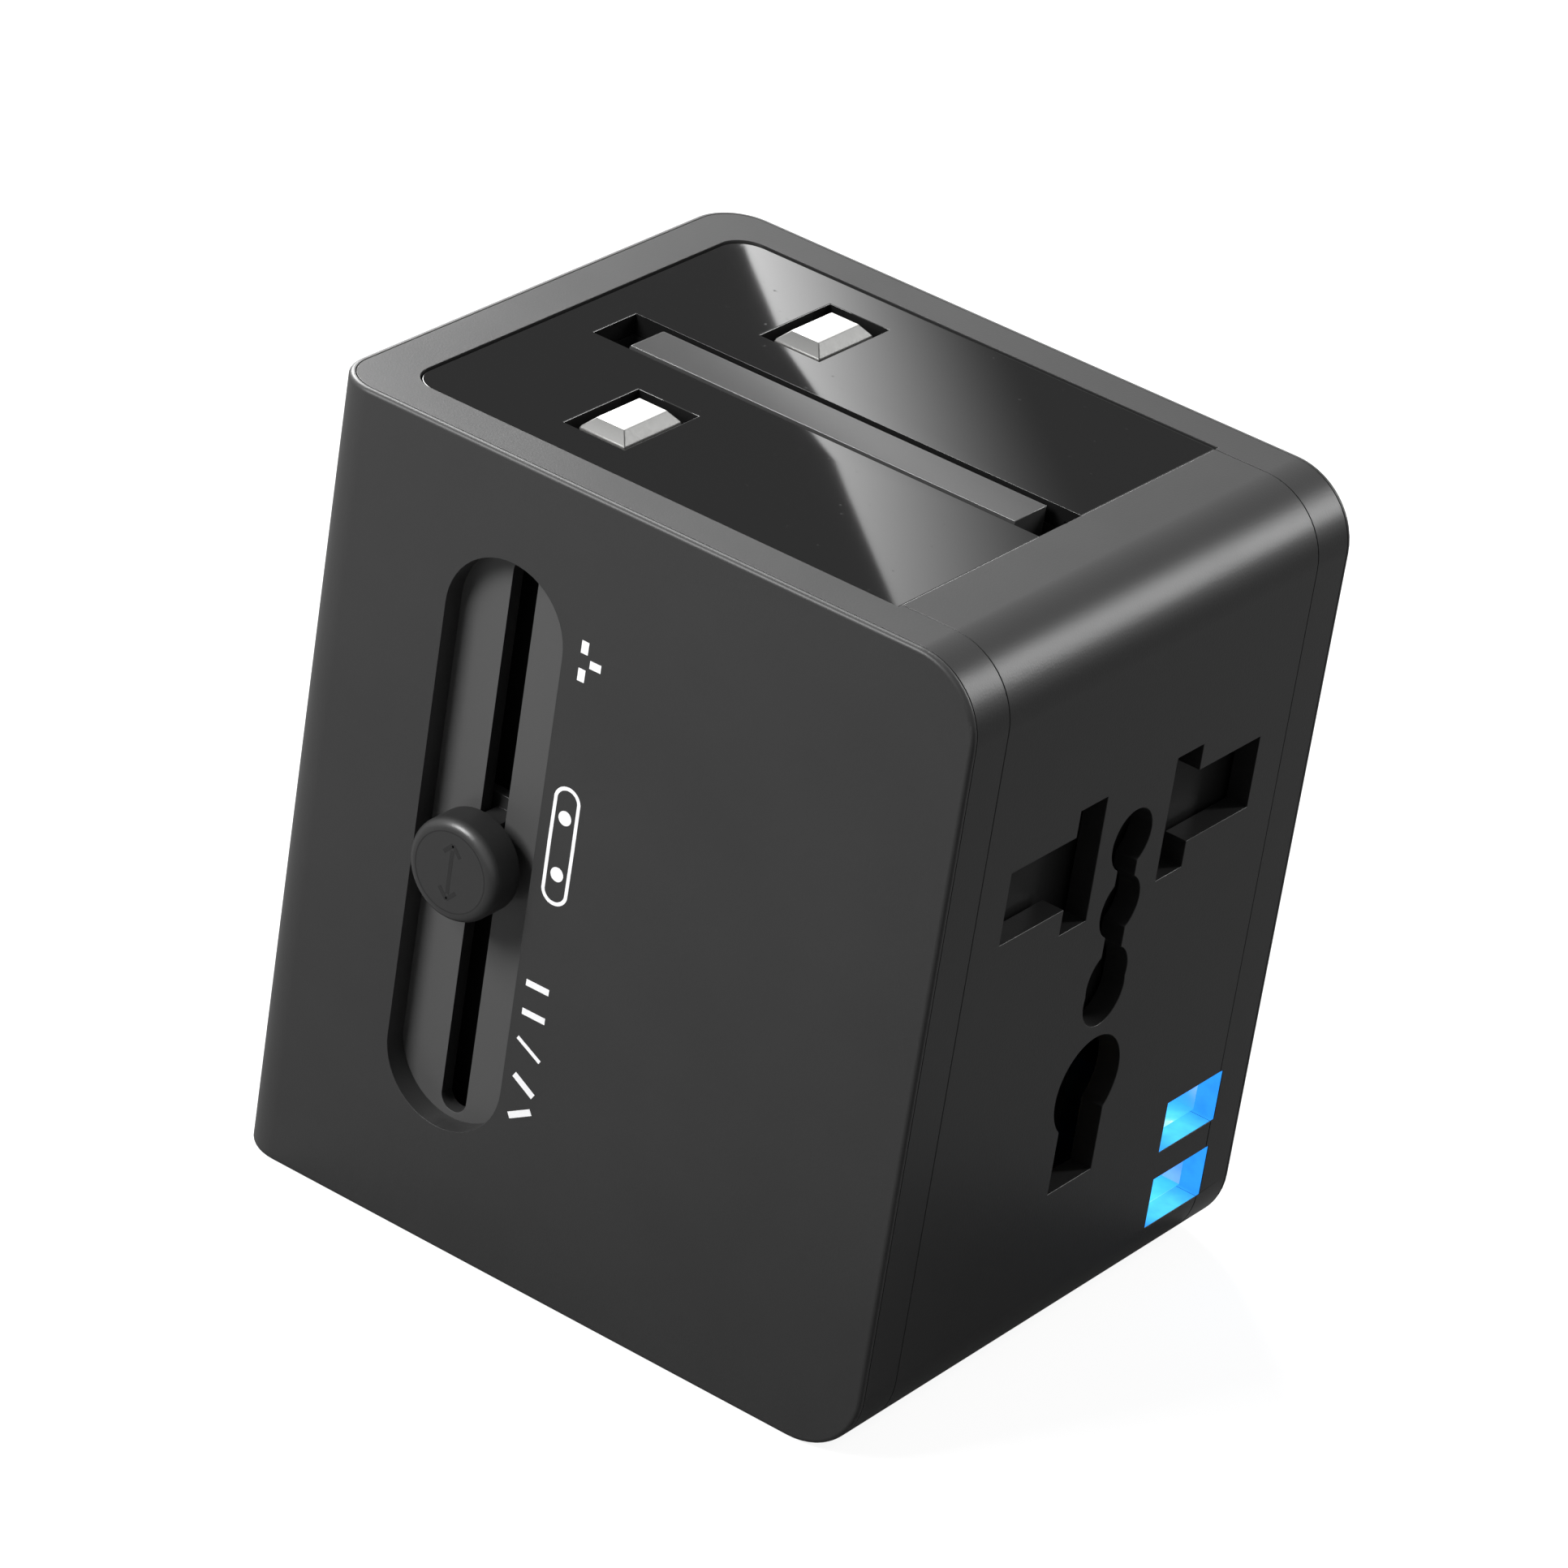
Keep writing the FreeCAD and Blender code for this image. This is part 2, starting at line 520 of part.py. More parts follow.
def uk_pin(name, side):
    low = f"{side} * pin_y"
    body = box(name + "_bar", slider_span("pin_thick / 2", "pin_thick / 2"),
               both_about(low, "pin_wide / 2"),
               ("tower_top - pin_root", "body_height + pin_tip_up"))
    top = read("body_height + pin_tip_up")
    return eased(name, body, lambda edge: edge.BoundBox.ZMin > top - 0.01, "tip_chamfer", bevel=True)


def wiper(name, side):
    return box(name, ("slider_x + block_half - rail_thick", "slider_x + block_half + 0.2"),
               both_about(f"{side} * rail_y", "wiper_half"),
               both_about("tower_top - 1.2 - wiper_tall / 2", "wiper_tall / 2"))


def busbar(name, side):
    """Brass rail beside the shuttle with a strip that crosses to the socket contact."""
    y = both_about(f"{side} * rail_y", "rail_half")
    rail = box(name + "_rail", ("slider_x + cage_half", "slider_x + cage_half + rail_thick"), y,
               ("rail_low", "channel_low - play"))
    strip = box(name + "_strip", ("slider_x + cage_half", "cup_back"), y, ("bar_z", "bar_z + bar_thick"))
    return fuse(name, rail, strip)


def slider_knob():
    """Round cap, flat neck through the slit and a foot that keeps the knob in."""
    under = "recess - press - 0.1"
    cap = rod("knob_cap", "y", ("slider_x", "front - knob_proud", "knob_z"), "knob_radius",
              f"({under}) - (front - knob_proud)")
    rim = read("front - knob_proud")
    dome = eased("knob_dome", cap, lambda edge: edge.BoundBox.YMax < rim + 0.01, "knob_round")
    neck = box("knob_neck", slider_span("neck_half", "neck_half"), (f"{under} - 0.5", "-block_reach + 1.9"),
               both_about("knob_z", "neck_tall / 2"))
    foot = box("knob_foot", slider_span("foot_half", "foot_half"),
               ("recess + track_plate + 0.4", "recess + track_plate + 0.4 + foot_thick"),
               both_about("knob_z", "neck_tall / 2 + 1"))
    return fuse("slider_knob", dome, neck, foot)


def coil(name, along, start, radius, wire, length, turns):
    """Round-wire spring: one helix swept with its wire section."""
    helix = doc.addObject("Part::Helix", name + "_helix")
    helix.setExpression("Radius", bound(radius))
    helix.setExpression("Height", bound(length))
    helix.setExpression("Pitch", bound(f"({length}) / {turns}"))
    section = doc.addObject("Part::Circle", name + "_section")
    section.setExpression("Radius", bound(wire))
    section.setExpression("Placement.Base.x", bound(radius))
    section.Placement = FreeCAD.Placement(V(read(radius), 0, 0), FreeCAD.Rotation(V(1, 0, 0), 90))
    sweep = doc.addObject("Part::Sweep", name)
    sweep.Sections = [section]
    sweep.Spine = (helix, ["Edge1"])
    sweep.Solid = True
    sweep.Frenet = True
    sweep.Placement = FreeCAD.Placement(V(), TURNS[along])
    for place, value in zip("xyz", start):
        sweep.setExpression(f"Placement.Base.{place}", bound(value))
    return sweep


def knob_spring():
    start = ("slider_x", "-block_reach + 1.9 + spring_wire + 0.05", "knob_z")
    return coil("knob_spring", "y", start, "spring_radius", "spring_wire", "4.4", 4)


def blade(name, side):
    bar = box(name + "_bar", slider_span("blade_wide / 2", "blade_wide / 2"),
              both_about(f"{side} * blade_y", "blade_thick / 2"),
              ("blade_up", "block_low + hub_tall - 1"))
    low = read("blade_up")
    return eased(name, bar, lambda edge: edge.BoundBox.ZMax < low + 0.01, "blade_thick / 4", bevel=True)


def blade_hub(name, side):
    disc = rod(name + "_disc", "z", ("slider_x", f"{side} * blade_y", "block_low + 0.1"), "hub_radius",
               "hub_tall - 0.1")
    room = box(name + "_room", slider_span("blade_wide / 2", "blade_wide / 2"),
               both_about(f"{side} * blade_y", "blade_thick / 2"), ("0", "block_low + hub_tall - 1"))
    return cut(name, disc, room)


# ---------------------------------------------------------------- folding earth pin

def earth_channel():
    """Trough under the slot, with a deeper well where the pin's root turns."""
    ends = ("slot_left - channel_wall", "cover_start + channel_wall")
    outer = box("channel_outer", ends, both("channel_half + channel_wall"), ("channel_low", "ceiling"))
    well = box("well_outer", ("pivot_x - well_back - channel_wall", ends[1]),
               both("channel_half + channel_wall"), ("well_floor - channel_wall", "ceiling"))
    inner = box("channel_inner", ("slot_left", "cover_start"), both("channel_half"),
                ("channel_floor", "body_height"))
    room = box("well_inner", ("pivot_x - well_back", "cover_start"), both("channel_half"),
               ("well_floor", "body_height"))
    bore = rod("channel_bore", "y", ("pivot_x", "-channel_half - 2 * channel_wall", "pivot_z"),
               "axle_radius", "2 * channel_half + 4 * channel_wall")
    return cut("earth_channel", fuse("channel_solid", outer, well), inner, room, bore)


def earth_pin():
    """Plastic pin lying along -X from its pivot, bevelled at its tip and eased at its root."""
    bar = box("earth_bar", ("earth_tip", "earth_root"), both("earth_thick / 2"),
              both_about("bar_mid", "earth_half"))
    tip = read("earth_tip")
    bevelled = eased("earth_bevelled", bar, lambda edge: edge.BoundBox.XMax < tip + 0.01,
                     "tip_chamfer / 2", bevel=True)
    root = read("earth_root")
    low = read("bar_mid")
    rounded = eased("earth_rounded", bevelled, lambda edge: edge.BoundBox.XMin > root - 0.01
                    and edge.BoundBox.ZMax < low, "root_round")
    bore = rod("earth_bore", "y", ("pivot_x", "-earth_thick", "pivot_z"), "axle_radius + snug",
               "2 * earth_thick")
    return cut("earth_pin", rounded, bore)


def earth_axle():
    return rod("earth_axle", "y", ("pivot_x", "-channel_half - channel_wall", "pivot_z"), "axle_radius",
               "2 * (channel_half + channel_wall)")


# ---------------------------------------------------------------- folding European pins

def euro_bay():
    """Tray in the left face: one groove for the carrier and one for each pin."""
    block = box("bay_block", ("left + 0.1", "tray_back + tray_wall"),
                both("carrier_half + play + tray_wall"),
                ("groove_low - tray_wall", "euro_z + carrier_radius + play + tray_wall"))
    carrier = box("bay_carrier_room", ("left - 1", "tray_back"), both("carrier_half + play"),
                  both_about("euro_z", "carrier_radius + play"))
    groove = box("bay_pin_room", ("left - 1", "tray_back"), both_about("euro_y", "groove_half"),
                 ("groove_low", "euro_z"))
    bore = rod("bay_bore", "y", ("euro_x", "-back", "euro_z"), "axle_radius", "body_depth")
    return cut("euro_bay", block, carrier, both_sides("bay_grooves", groove), bore)


def euro_carrier():
    bar = rod("carrier_bar", "y", ("euro_x", "-carrier_half", "euro_z"), "carrier_radius",
              "2 * carrier_half")
    bore = rod("carrier_bore", "y", ("euro_x", "-back", "euro_z"), "axle_radius + snug", "body_depth")
    socket = rod("carrier_socket", "z", ("euro_x", "euro_y", "euro_z - 2 * carrier_radius"), "euro_radius",
                 "2 * carrier_radius - axle_radius - 0.6")
    return cut("euro_carrier", bar, bore, both_sides("carrier_sockets", socket))


def euro_pin(name, side):
    low = "euro_z - (euro_reach + euro_x - left)"
    bar = rod(name + "_bar", "z", ("euro_x", f"{side} * euro_y", low), "euro_radius",
              f"euro_z - axle_radius - 0.6 - ({low})")
    end = read(low)
    return eased(name, bar, lambda edge: edge.BoundBox.ZMax < end + 0.01, "tip_chamfer")


def euro_axle():
    return rod("euro_axle", "y", ("euro_x", "-carrier_half - play - tray_wall", "euro_z"), "axle_radius",
               "2 * (carrier_half + play + tray_wall)")


# ---------------------------------------------------------------- socket

CUP_Z = both_about("contact_z", "tall_high / 2 + 0.3 + cup_wall")


def cup(name, x, y, z):
    """Brass cup, open towards the socket face."""
    outer = box(name + "_outer", x, y, z)
    inner = box(name + "_inner", (f"{x[0]} + cup_wall", f"{x[1]} + 1"),
                (f"{y[0]} + cup_wall", f"{y[1]} - cup_wall"), (f"{z[0]} + cup_wall", f"{z[1]} - cup_wall"))
    return cut(name, outer, inner)


POLE_X = ("cup_back", "block_front - 0.2")
EARTH_X = ("earth_cup_back", "block_front - 0.2")
EARTH_Y = both("earth_hole + 0.1 + cup_wall")
EARTH_Z = ("earth_low - 0.3 - cup_wall", "earth_z + earth_hole + 0.1 + cup_wall")


def socket_block():
    """Insulating block that holds the three contacts and guides the shutter."""
    main = box("block_main", ("cup_back - block_wall", "block_front"), both("cup_out + block_wall"),
               (EARTH_Z[1], "contact_z + tall_high / 2 + 0.3 + cup_wall + block_wall"))
    leg = box("block_leg", ("earth_cup_back - block_wall", "block_front"),
              (f"{EARTH_Y[0]} - block_wall", f"{EARTH_Y[1]} + block_wall"),
              (f"{EARTH_Z[0]} - block_wall", f"{EARTH_Z[1]} + block_wall"))
    rail = box("shutter_rail", ("block_front - 1", "right - wall"),
               ("shutter_half + play", "shutter_half + play + rail_wide"),
               (EARTH_Z[1], "contact_z + tall_high / 2 + 0.3 + cup_wall + block_wall"))
    side = box("rail_side", ("block_front - 3", "block_front"),
               ("cup_out", "shutter_half + play + rail_wide"),
               (EARTH_Z[1], "contact_z + tall_high / 2 + 0.3 + cup_wall + block_wall"))
    pole = box("pole_room", ("cup_back", "block_front + 1"), ("cup_in", "cup_out"), CUP_Z)
    earth = box("earth_room", ("earth_cup_back", "block_front + 1"), EARTH_Y, EARTH_Z)
    bar = box("bar_room", ("cup_back - 2 * block_wall", "cup_back + 0.1"),
              both_about("rail_y", "rail_half + snug"), ("bar_z - snug", "bar_z + bar_thick + snug"))
    middle = [rod(f"middle_room_{number}", "x", ("cup_back", "0", height), "round_hole",
                  "block_front")
              for number, height in enumerate(("contact_z", "second_z", "third_z"))]
    joined = fuse("socket_solid", main, leg, both_sides("shutter_rails", fuse("rail_pair", rail, side)))
    return cut("socket_block", joined, both_sides("pole_rooms", fuse("pole_rooms_one", pole, bar)),
               earth, *middle)


def socket_shutter():
    plate = box("shutter_plate", ("shutter_x", "shutter_x + shutter_thick"), both("shutter_half"),
                ("shutter_low", "shutter_low + shutter_tall"))
    tongue = box("shutter_tongue", ("shutter_x", "shutter_x + shutter_thick"), both("tongue_half"),
                 ("tongue_low", "shutter_low + 1"))
    return fuse("socket_shutter", plate, tongue)


def shutter_spring():
    start = ("shutter_x + shutter_thick / 2 - 0.6", "shutter_coil_y", "shutter_low - shutter_coil_long - play + 0.05")
    return coil("shutter_spring", "z", start, "shutter_coil_radius", "shutter_coil_wire",
                "shutter_coil_long", 9)


# ---------------------------------------------------------------- fuse and charger

def fuse_body():
    return rod("fuse_body", "y", ("fuse_x", "-fuse_long / 2 + 0.4", "fuse_z"), "fuse_radius - 0.2",
               "fuse_long - 0.8")


def fuse_caps():
    cap = rod("cap_outer", "y", ("fuse_x", "fuse_long / 2 - cap_long", "fuse_z"), "fuse_radius",
              "cap_long")
    room = rod("cap_room", "y", ("fuse_x", "fuse_long / 2 - cap_long - 1", "fuse_z"), "fuse_radius - 0.2",
               "cap_long + 0.6")
    return both_sides("fuse_caps", cut("cap_one", cap, room))


def fuse_clips():
    block = box("clip_block", ("slider_x + cage_half + cage_wall", "fuse_x + fuse_radius / 2"),
                both_about("fuse_long / 2 - cap_long / 2", "1"), both_about("fuse_z", "fuse_radius + 0.6"))
    room = rod("clip_room", "y", ("fuse_x", "0", "fuse_z"), "fuse_radius", "fuse_long")
    return both_sides("fuse_clips", cut("clip_one", block, room))


def charger_board():
    x = ("board_x", "board_x + board_thick")
    low = box("board_lower", x, ("board_start", "board_reach"),
              ("wall", f"{EARTH_Z[0]} - block_wall - play"))
    high = box("board_upper", x, ("earth_hole + cup_wall + block_wall + 0.6", "board_reach"),
               ("wall", "wall + board_tall"))
    return fuse("usb_board", low, high)


def usb_port(name, middle):
    x = ("board_x + board_thick", "right - wall - play")
    outer = port_hole(name + "_outer", middle, "port_wall", x)
    inner = port_hole(name + "_inner", middle, "0", ("board_x + board_thick + port_wall", "right + 1"))
    return cut(name, outer, inner)


def usb_tongue(name, middle):
    return box(name, ("board_x + board_thick + port_wall", "right - tongue_inset"),
               ("port_near + 0.7", "port_near + port_wide - 0.7"),
               (f"{middle} + 0.1", f"{middle} + 0.1 + tongue_thick"))


def transformer():
    return box("transformer_core", ("board_x - board_parts", "board_x"),
               ("port_near - core_under", "port_near - core_under + core_wide"),
               ("wall + core_lift", "wall + core_lift + core_tall"))


def capacitors():
    def can(name, y):
        return rod(name, "x", ("board_x - board_parts", y, "wall + capacitor_lift + capacitor_radius"),
                   "capacitor_radius", "board_parts")
    one = can("capacitor_one", "board_start + capacitor_radius")
    two = can("capacitor_two", "board_start + 3 * capacitor_radius + capacitor_gap")
    group = doc.addObject("Part::Compound", "capacitors")
    group.Links = [one, two]
    return group


def controller_chip():
    return box("controller_chip", ("board_x + board_thick", "board_x + board_thick + 1.2"), ("board_start + 3", "board_start + 8"),
               ("wall + 3", "wall + 8"))


def indicator_light():
    return box("indicator_light", ("board_x + board_thick", "board_x + board_thick + 1"),
               ("port_near - 3", "port_near - 1.4"), both_about("(upper_port + lower_port) / 2", "0.8"))


PIECES = {
    "main_shell": main_shell, "wrap_cover": wrap_cover, "socket_cover": socket_cover,
    "plug_panel": plug_panel, "blade_plate": blade_plate, "case_screws": case_screws,
    "slider_track": slider_track, "shuttle_cage": shuttle_cage, "shuttle_block": shuttle_block,
    "uk_pin_live": lambda: uk_pin("uk_pin_live", 1), "uk_pin_neutral": lambda: uk_pin("uk_pin_neutral", -1),
    "live_wiper": lambda: wiper("live_wiper", 1), "neutral_wiper": lambda: wiper("neutral_wiper", -1),
    "live_busbar": lambda: busbar("live_busbar", 1), "neutral_busbar": lambda: busbar("neutral_busbar", -1),
    "slider_knob": slider_knob, "knob_spring": knob_spring,
    "blade_live": lambda: blade("blade_live", 1), "blade_neutral": lambda: blade("blade_neutral", -1),
    "blade_hub_live": lambda: blade_hub("blade_hub_live", 1),
    "blade_hub_neutral": lambda: blade_hub("blade_hub_neutral", -1),
    "earth_channel": earth_channel, "earth_pin": earth_pin, "earth_axle": earth_axle,
    "euro_bay": euro_bay, "euro_carrier": euro_carrier,
    "euro_pin_live": lambda: euro_pin("euro_pin_live", 1),
    "euro_pin_neutral": lambda: euro_pin("euro_pin_neutral", -1), "euro_axle": euro_axle,
    "live_contact": lambda: cup("live_contact", POLE_X, ("cup_in", "cup_out"), CUP_Z),
    "neutral_contact": lambda: cup("neutral_contact", POLE_X, ("-cup_out", "-cup_in"), CUP_Z),
    "earth_contact": lambda: cup("earth_contact", EARTH_X, EARTH_Y, EARTH_Z),
    "socket_block": socket_block, "socket_shutter": socket_shutter, "shutter_spring": shutter_spring,
    "fuse_body": fuse_body, "fuse_caps": fuse_caps, "fuse_clips": fuse_clips, "usb_board": charger_board,
    "usb_port_upper": lambda: usb_port("usb_port_upper", "upper_port"),
    "usb_port_lower": lambda: usb_port("usb_port_lower", "lower_port"),
    "usb_tongue_upper": lambda: usb_tongue("usb_tongue_upper", "upper_port"),
    "usb_tongue_lower": lambda: usb_tongue("usb_tongue_lower", "lower_port"),
    "usb_transformer": transformer, "usb_capacitors": capacitors, "usb_chip": controller_chip,
    "usb_light": indicator_light,
}

nodes = {name: make() for name, make in PIECES.items()}
for name, piece in nodes.items():
    piece.Label = name
doc.recompute()

faults = [thing.Name for thing in doc.Objects if {"Invalid", "Error"} & set(thing.State)]
for name, piece in nodes.items():
    if piece.Shape.isNull() or not piece.Shape.isValid() or not piece.Shape.Solids:
        faults.append(name)
if faults:
    raise RuntimeError("failed: " + ", ".join(faults))

os.makedirs("parts", exist_ok=True)
for name, piece in nodes.items():
    piece.Shape.exportStep(f"parts/{name}.step")
    bounds = piece.Shape.BoundBox
    print(f"{name:20s} {len(piece.Shape.Solids)} solid  {piece.Shape.Volume:9.1f} mm3  "
          f"x {bounds.XMin:7.2f} {bounds.XMax:7.2f}  y {bounds.YMin:7.2f} {bounds.YMax:7.2f}  "
          f"z {bounds.ZMin:7.2f} {bounds.ZMax:7.2f}")
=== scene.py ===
# %% [markdown]
# # A universal travel adapter
# This lesson dresses a plug adapter: a dark block of satin plastic with a polished panel, plated
# pins, a slider and two lit charging ports.  The construction comes ready made, in metres, with +Z
# up.  The lesson rounds its edges, prints its marks, gives each material its finish and lights it.

# %% Load the construction
import json
import math

import bpy
from mathutils import Matrix, Vector


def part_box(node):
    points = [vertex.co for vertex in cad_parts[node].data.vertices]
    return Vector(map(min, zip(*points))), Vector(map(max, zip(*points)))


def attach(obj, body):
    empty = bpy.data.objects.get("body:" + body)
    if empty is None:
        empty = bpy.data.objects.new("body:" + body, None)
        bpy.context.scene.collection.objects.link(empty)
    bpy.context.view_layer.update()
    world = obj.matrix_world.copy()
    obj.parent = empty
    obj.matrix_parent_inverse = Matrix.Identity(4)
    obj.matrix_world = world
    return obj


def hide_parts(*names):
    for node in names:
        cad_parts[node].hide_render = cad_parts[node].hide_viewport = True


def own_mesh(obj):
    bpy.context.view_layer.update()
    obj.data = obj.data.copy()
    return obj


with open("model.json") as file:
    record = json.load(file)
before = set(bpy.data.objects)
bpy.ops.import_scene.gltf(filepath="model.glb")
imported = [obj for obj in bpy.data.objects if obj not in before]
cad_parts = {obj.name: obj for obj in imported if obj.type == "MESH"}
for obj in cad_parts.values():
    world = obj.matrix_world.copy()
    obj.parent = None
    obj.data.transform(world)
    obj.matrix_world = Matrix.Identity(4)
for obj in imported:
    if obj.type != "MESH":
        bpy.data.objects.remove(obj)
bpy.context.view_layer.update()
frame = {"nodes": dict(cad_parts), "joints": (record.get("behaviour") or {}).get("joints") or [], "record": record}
nodes = frame["nodes"]
MM = 0.001

# %% [markdown]
# Every place below comes from the construction, so the landmarks are read from it once: the outer
# faces of the casing, the push button and the shells of the charging ports.  Read like this, they
# stay right when a size in the construction changes.

# %% Landmarks
shell_low, shell_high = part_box("main_shell")
FRONT, BACK = shell_low.y, shell_high.y
LEFT, RIGHT = shell_low.x, shell_high.x
TOP = shell_high.z
knob_low, knob_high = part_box("slider_knob")
KNOB_FACE = knob_low.y
PORTS = ("usb_port_upper", "usb_port_lower")
port_low, port_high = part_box(PORTS[0])
PORT_MIDDLE = (port_low.y + port_high.y) / 2
PORT_HALF = (port_high.y - port_low.y) / 2
PORT_WALL = 0.3 * MM
COVER_WALL = 1.8 * MM
print("casing", [round(side / MM, 1) for side in (RIGHT - LEFT, BACK - FRONT, TOP)], "mm")


# %% [markdown]
# Operators act on whatever is selected, so one helper clears the selection and makes one object
# active, and another selects faces in code, by a test on their place.  A finished piece keeps its
# place in its mesh, with its object at the origin, so one more helper settles it there.

# %% Selection helpers
def only(piece):
    """Select one object alone and make it active."""
    bpy.ops.object.select_all(action="DESELECT")
    piece.select_set(True)
    bpy.context.view_layer.objects.active = piece
    return piece


def select_faces(piece, test):
    """In edit mode, select the faces that pass the test."""
    only(piece)
    bpy.ops.object.mode_set(mode="EDIT")
    bpy.ops.mesh.select_mode(type="FACE")
    bpy.ops.mesh.select_all(action="DESELECT")
    bpy.ops.object.mode_set(mode="OBJECT")
    for face in piece.data.polygons:
        face.select = test(face)
    bpy.ops.object.mode_set(mode="EDIT")


def object_mode():
    bpy.ops.object.mode_set(mode="OBJECT")


def apply_all(piece):
    only(piece)
    for modifier in list(piece.modifiers):
        bpy.ops.object.modifier_apply(modifier=modifier.name)


def settle(piece):
    """Put the piece's place, turn and scale into its mesh."""
    only(piece)
    bpy.ops.object.transform_apply(location=True, rotation=True, scale=True)
    return piece


# %% [markdown]
# Shader maths reads best as ordinary expressions.  The small class below wraps a socket and
# overloads the operators, so `1 - mask` or `noise * 0.2 + 0.4` adds its Math nodes by itself.

# %% Shader expressions
class Wire:
    """A node socket that takes part in Python expressions."""

    def __init__(self, book, socket):
        self.book = book
        self.socket = socket

    def math(self, operation, other=0.0, swap=False):
        first, second = (other, self) if swap else (self, other)
        return self.book.add("ShaderNodeMath", {"operation": operation}, {0: first, 1: second})

    def __add__(self, other):
        return self.math("ADD", other)

    def __sub__(self, other):
        return self.math("SUBTRACT", other)

    def __rsub__(self, other):
        return self.math("SUBTRACT", other, swap=True)

    def __mul__(self, other):
        return self.math("MULTIPLY", other)

    def above(self, limit):
        return self.math("GREATER_THAN", limit)

    def between(self, low, high):
        """1 from low to high, 0 outside."""
        return self.above(low) * (1 - self.above(high))

    def within(self, low, high):
        """0 below low, 1 above high, smooth between."""
        settings = {"interpolation_type": "SMOOTHSTEP"}
        return self.book.add("ShaderNodeMapRange", settings, {0: self, 1: low, 2: high})


class Book:
    """One material being written, with its shader and its output."""

    def __init__(self, name):
        self.material = bpy.data.materials.new(name)
        self.material.use_nodes = True
        self.tree = self.material.node_tree
        self.shader = self.tree.nodes["Principled BSDF"]

    def add(self, kind, settings=None, values=None, output=0):
        """Any node: its type, its settings, then the values or links of its sockets."""
        node = self.tree.nodes.new(kind)
        for key, value in (settings or {}).items():
            setattr(node, key, value)
        for key, value in (values or {}).items():
            self.feed(node.inputs[key], value)
        return Wire(self, node.outputs[output])

    def feed(self, socket, value):
        if isinstance(value, Wire):
            self.tree.links.new(value.socket, socket)
        else:
            socket.default_value = value

    def set(self, **values):
        """Feed the shader's own sockets, named in small letters."""
        for key, value in values.items():
            title = key.replace("_", " ").title().replace("Ior", "IOR")
            self.feed(self.shader.inputs[title], value)
        return self

    def place(self):
        """Object coordinates, in metres on every piece."""
        return self.add("ShaderNodeTexCoord", output=3)

    def axis(self, number):
        """One of the three object coordinates."""
        return self.add("ShaderNodeSeparateXYZ", None, {0: self.place()}, output=number)

    def facing(self, number):
        """One part of the surface's own direction."""
        normal = self.add("ShaderNodeTexCoord", output=1)
        return self.add("ShaderNodeSeparateXYZ", None, {0: normal}, output=number)

    def noise(self, size, detail=3.0, roughness=0.55, at=None):
        """Noise whose features are about size metres across."""
        values = {"Vector": at or self.place(), "Scale": 1 / size, "Detail": detail,
                  "Roughness": roughness}
        return self.add("ShaderNodeTexNoise", None, values)

    def bump(self, height, depth, strength=1.0):
        values = {"Height": height, "Distance": depth, "Strength": strength}
        self.set(normal=self.add("ShaderNodeBump", None, values))

    def blend(self, mask, low, high):
        """Colour that runs from low to high with the mask."""
        values = {0: mask, 6: low, 7: high}
        return self.add("ShaderNodeMix", {"data_type": "RGBA"}, values, output=2)


def grey(level):
    return (level, level, level, 1)


# %% [markdown]
# **Satin casing.** The casing is dark plastic from a mould with a fine spark-eroded grain: it has a
# soft, broad sheen, and no two patches of it reflect quite alike.  A very small noise makes the
# grain, and a larger, faint one varies the sheen.

# %% Satin plastic
def satin_book(name, level, rough, grain=0.012, specular=0.3):
    book = Book(name)
    cloud = book.noise(9 * MM, 2)
    fine = book.noise(0.16 * MM, 2)
    book.set(base_color=book.blend(cloud, grey(level * 0.92), grey(level * 1.08)),
             roughness=cloud * 0.05 + (rough - 0.025), specular_ior_level=specular)
    book.bump(fine, grain * MM, 0.5)
    return book


def satin_plastic(*choices, **named):
    return satin_book(*choices, **named).material


# %% [markdown]
# ** Track and button.** The slider's floor is a lighter satin, and the walls of the slit sawn through it
# are painted nearly black: painted shade.  The push button is polished by fingers on its face only,
# and its sides are painted darker: painted shade.  Each could be two materials on one piece.  One
# material that asks which way the surface faces does the same and leaves the mesh alone.

# %% Finishes and painted shade that depend on the side
def track_satin(name, level, rough):
    """The slider's floor, with the walls of its slit painted nearly black as painted shade."""
    book = satin_book(name, level, rough)
    floor_not_shaded = book.facing(1).math("MULTIPLY", -1).within(0.5, 0.9)
    # Wherever the surface does not face out of the front, its colour is painted nearly black: painted shade in the
    # slit.
    book.set(base_color=book.blend(floor_not_shaded, grey(0.03), grey(level)))
    return book.material


def knob_satin(name, level, rough):
    """The push button: a satin face, and rougher sides, painted darker as painted shade."""
    book = satin_book(name, level, rough, 0.006, 0.5)
    face_not_shaded = book.facing(1).math("MULTIPLY", -1).within(0.35, 0.85)
    # The sides are painted far darker than the face: painted shade.
    book.set(base_color=book.blend(face_not_shaded, grey(0.008), grey(level)),
             roughness=(1 - face_not_shaded) * 0.3 + rough)
    return book.material


# %% [markdown]
# **Polished panels.** The plug face and the plate over the flat blades are as glossy as mirrors:
# a low roughness on an almost black colour.  Real polished plastic is never quite flat or clean, so
# a wide, shallow wave bends its reflections a little, and specks of dust dull it.

# %% Polished plastic
def polished_plastic(name, level):
    """Deep and clear, with the faintest waviness of a moulded sheet."""
    book = Book(name)
    wave = book.noise(14 * MM, 1)
    dust = book.noise(0.5 * MM, 2).within(0.68, 0.8)
    book.set(base_color=grey(level), roughness=dust * 0.10 + 0.025, specular_ior_level=0.5)
    book.bump(wave, 0.004 * MM, 0.2)
    return book.material


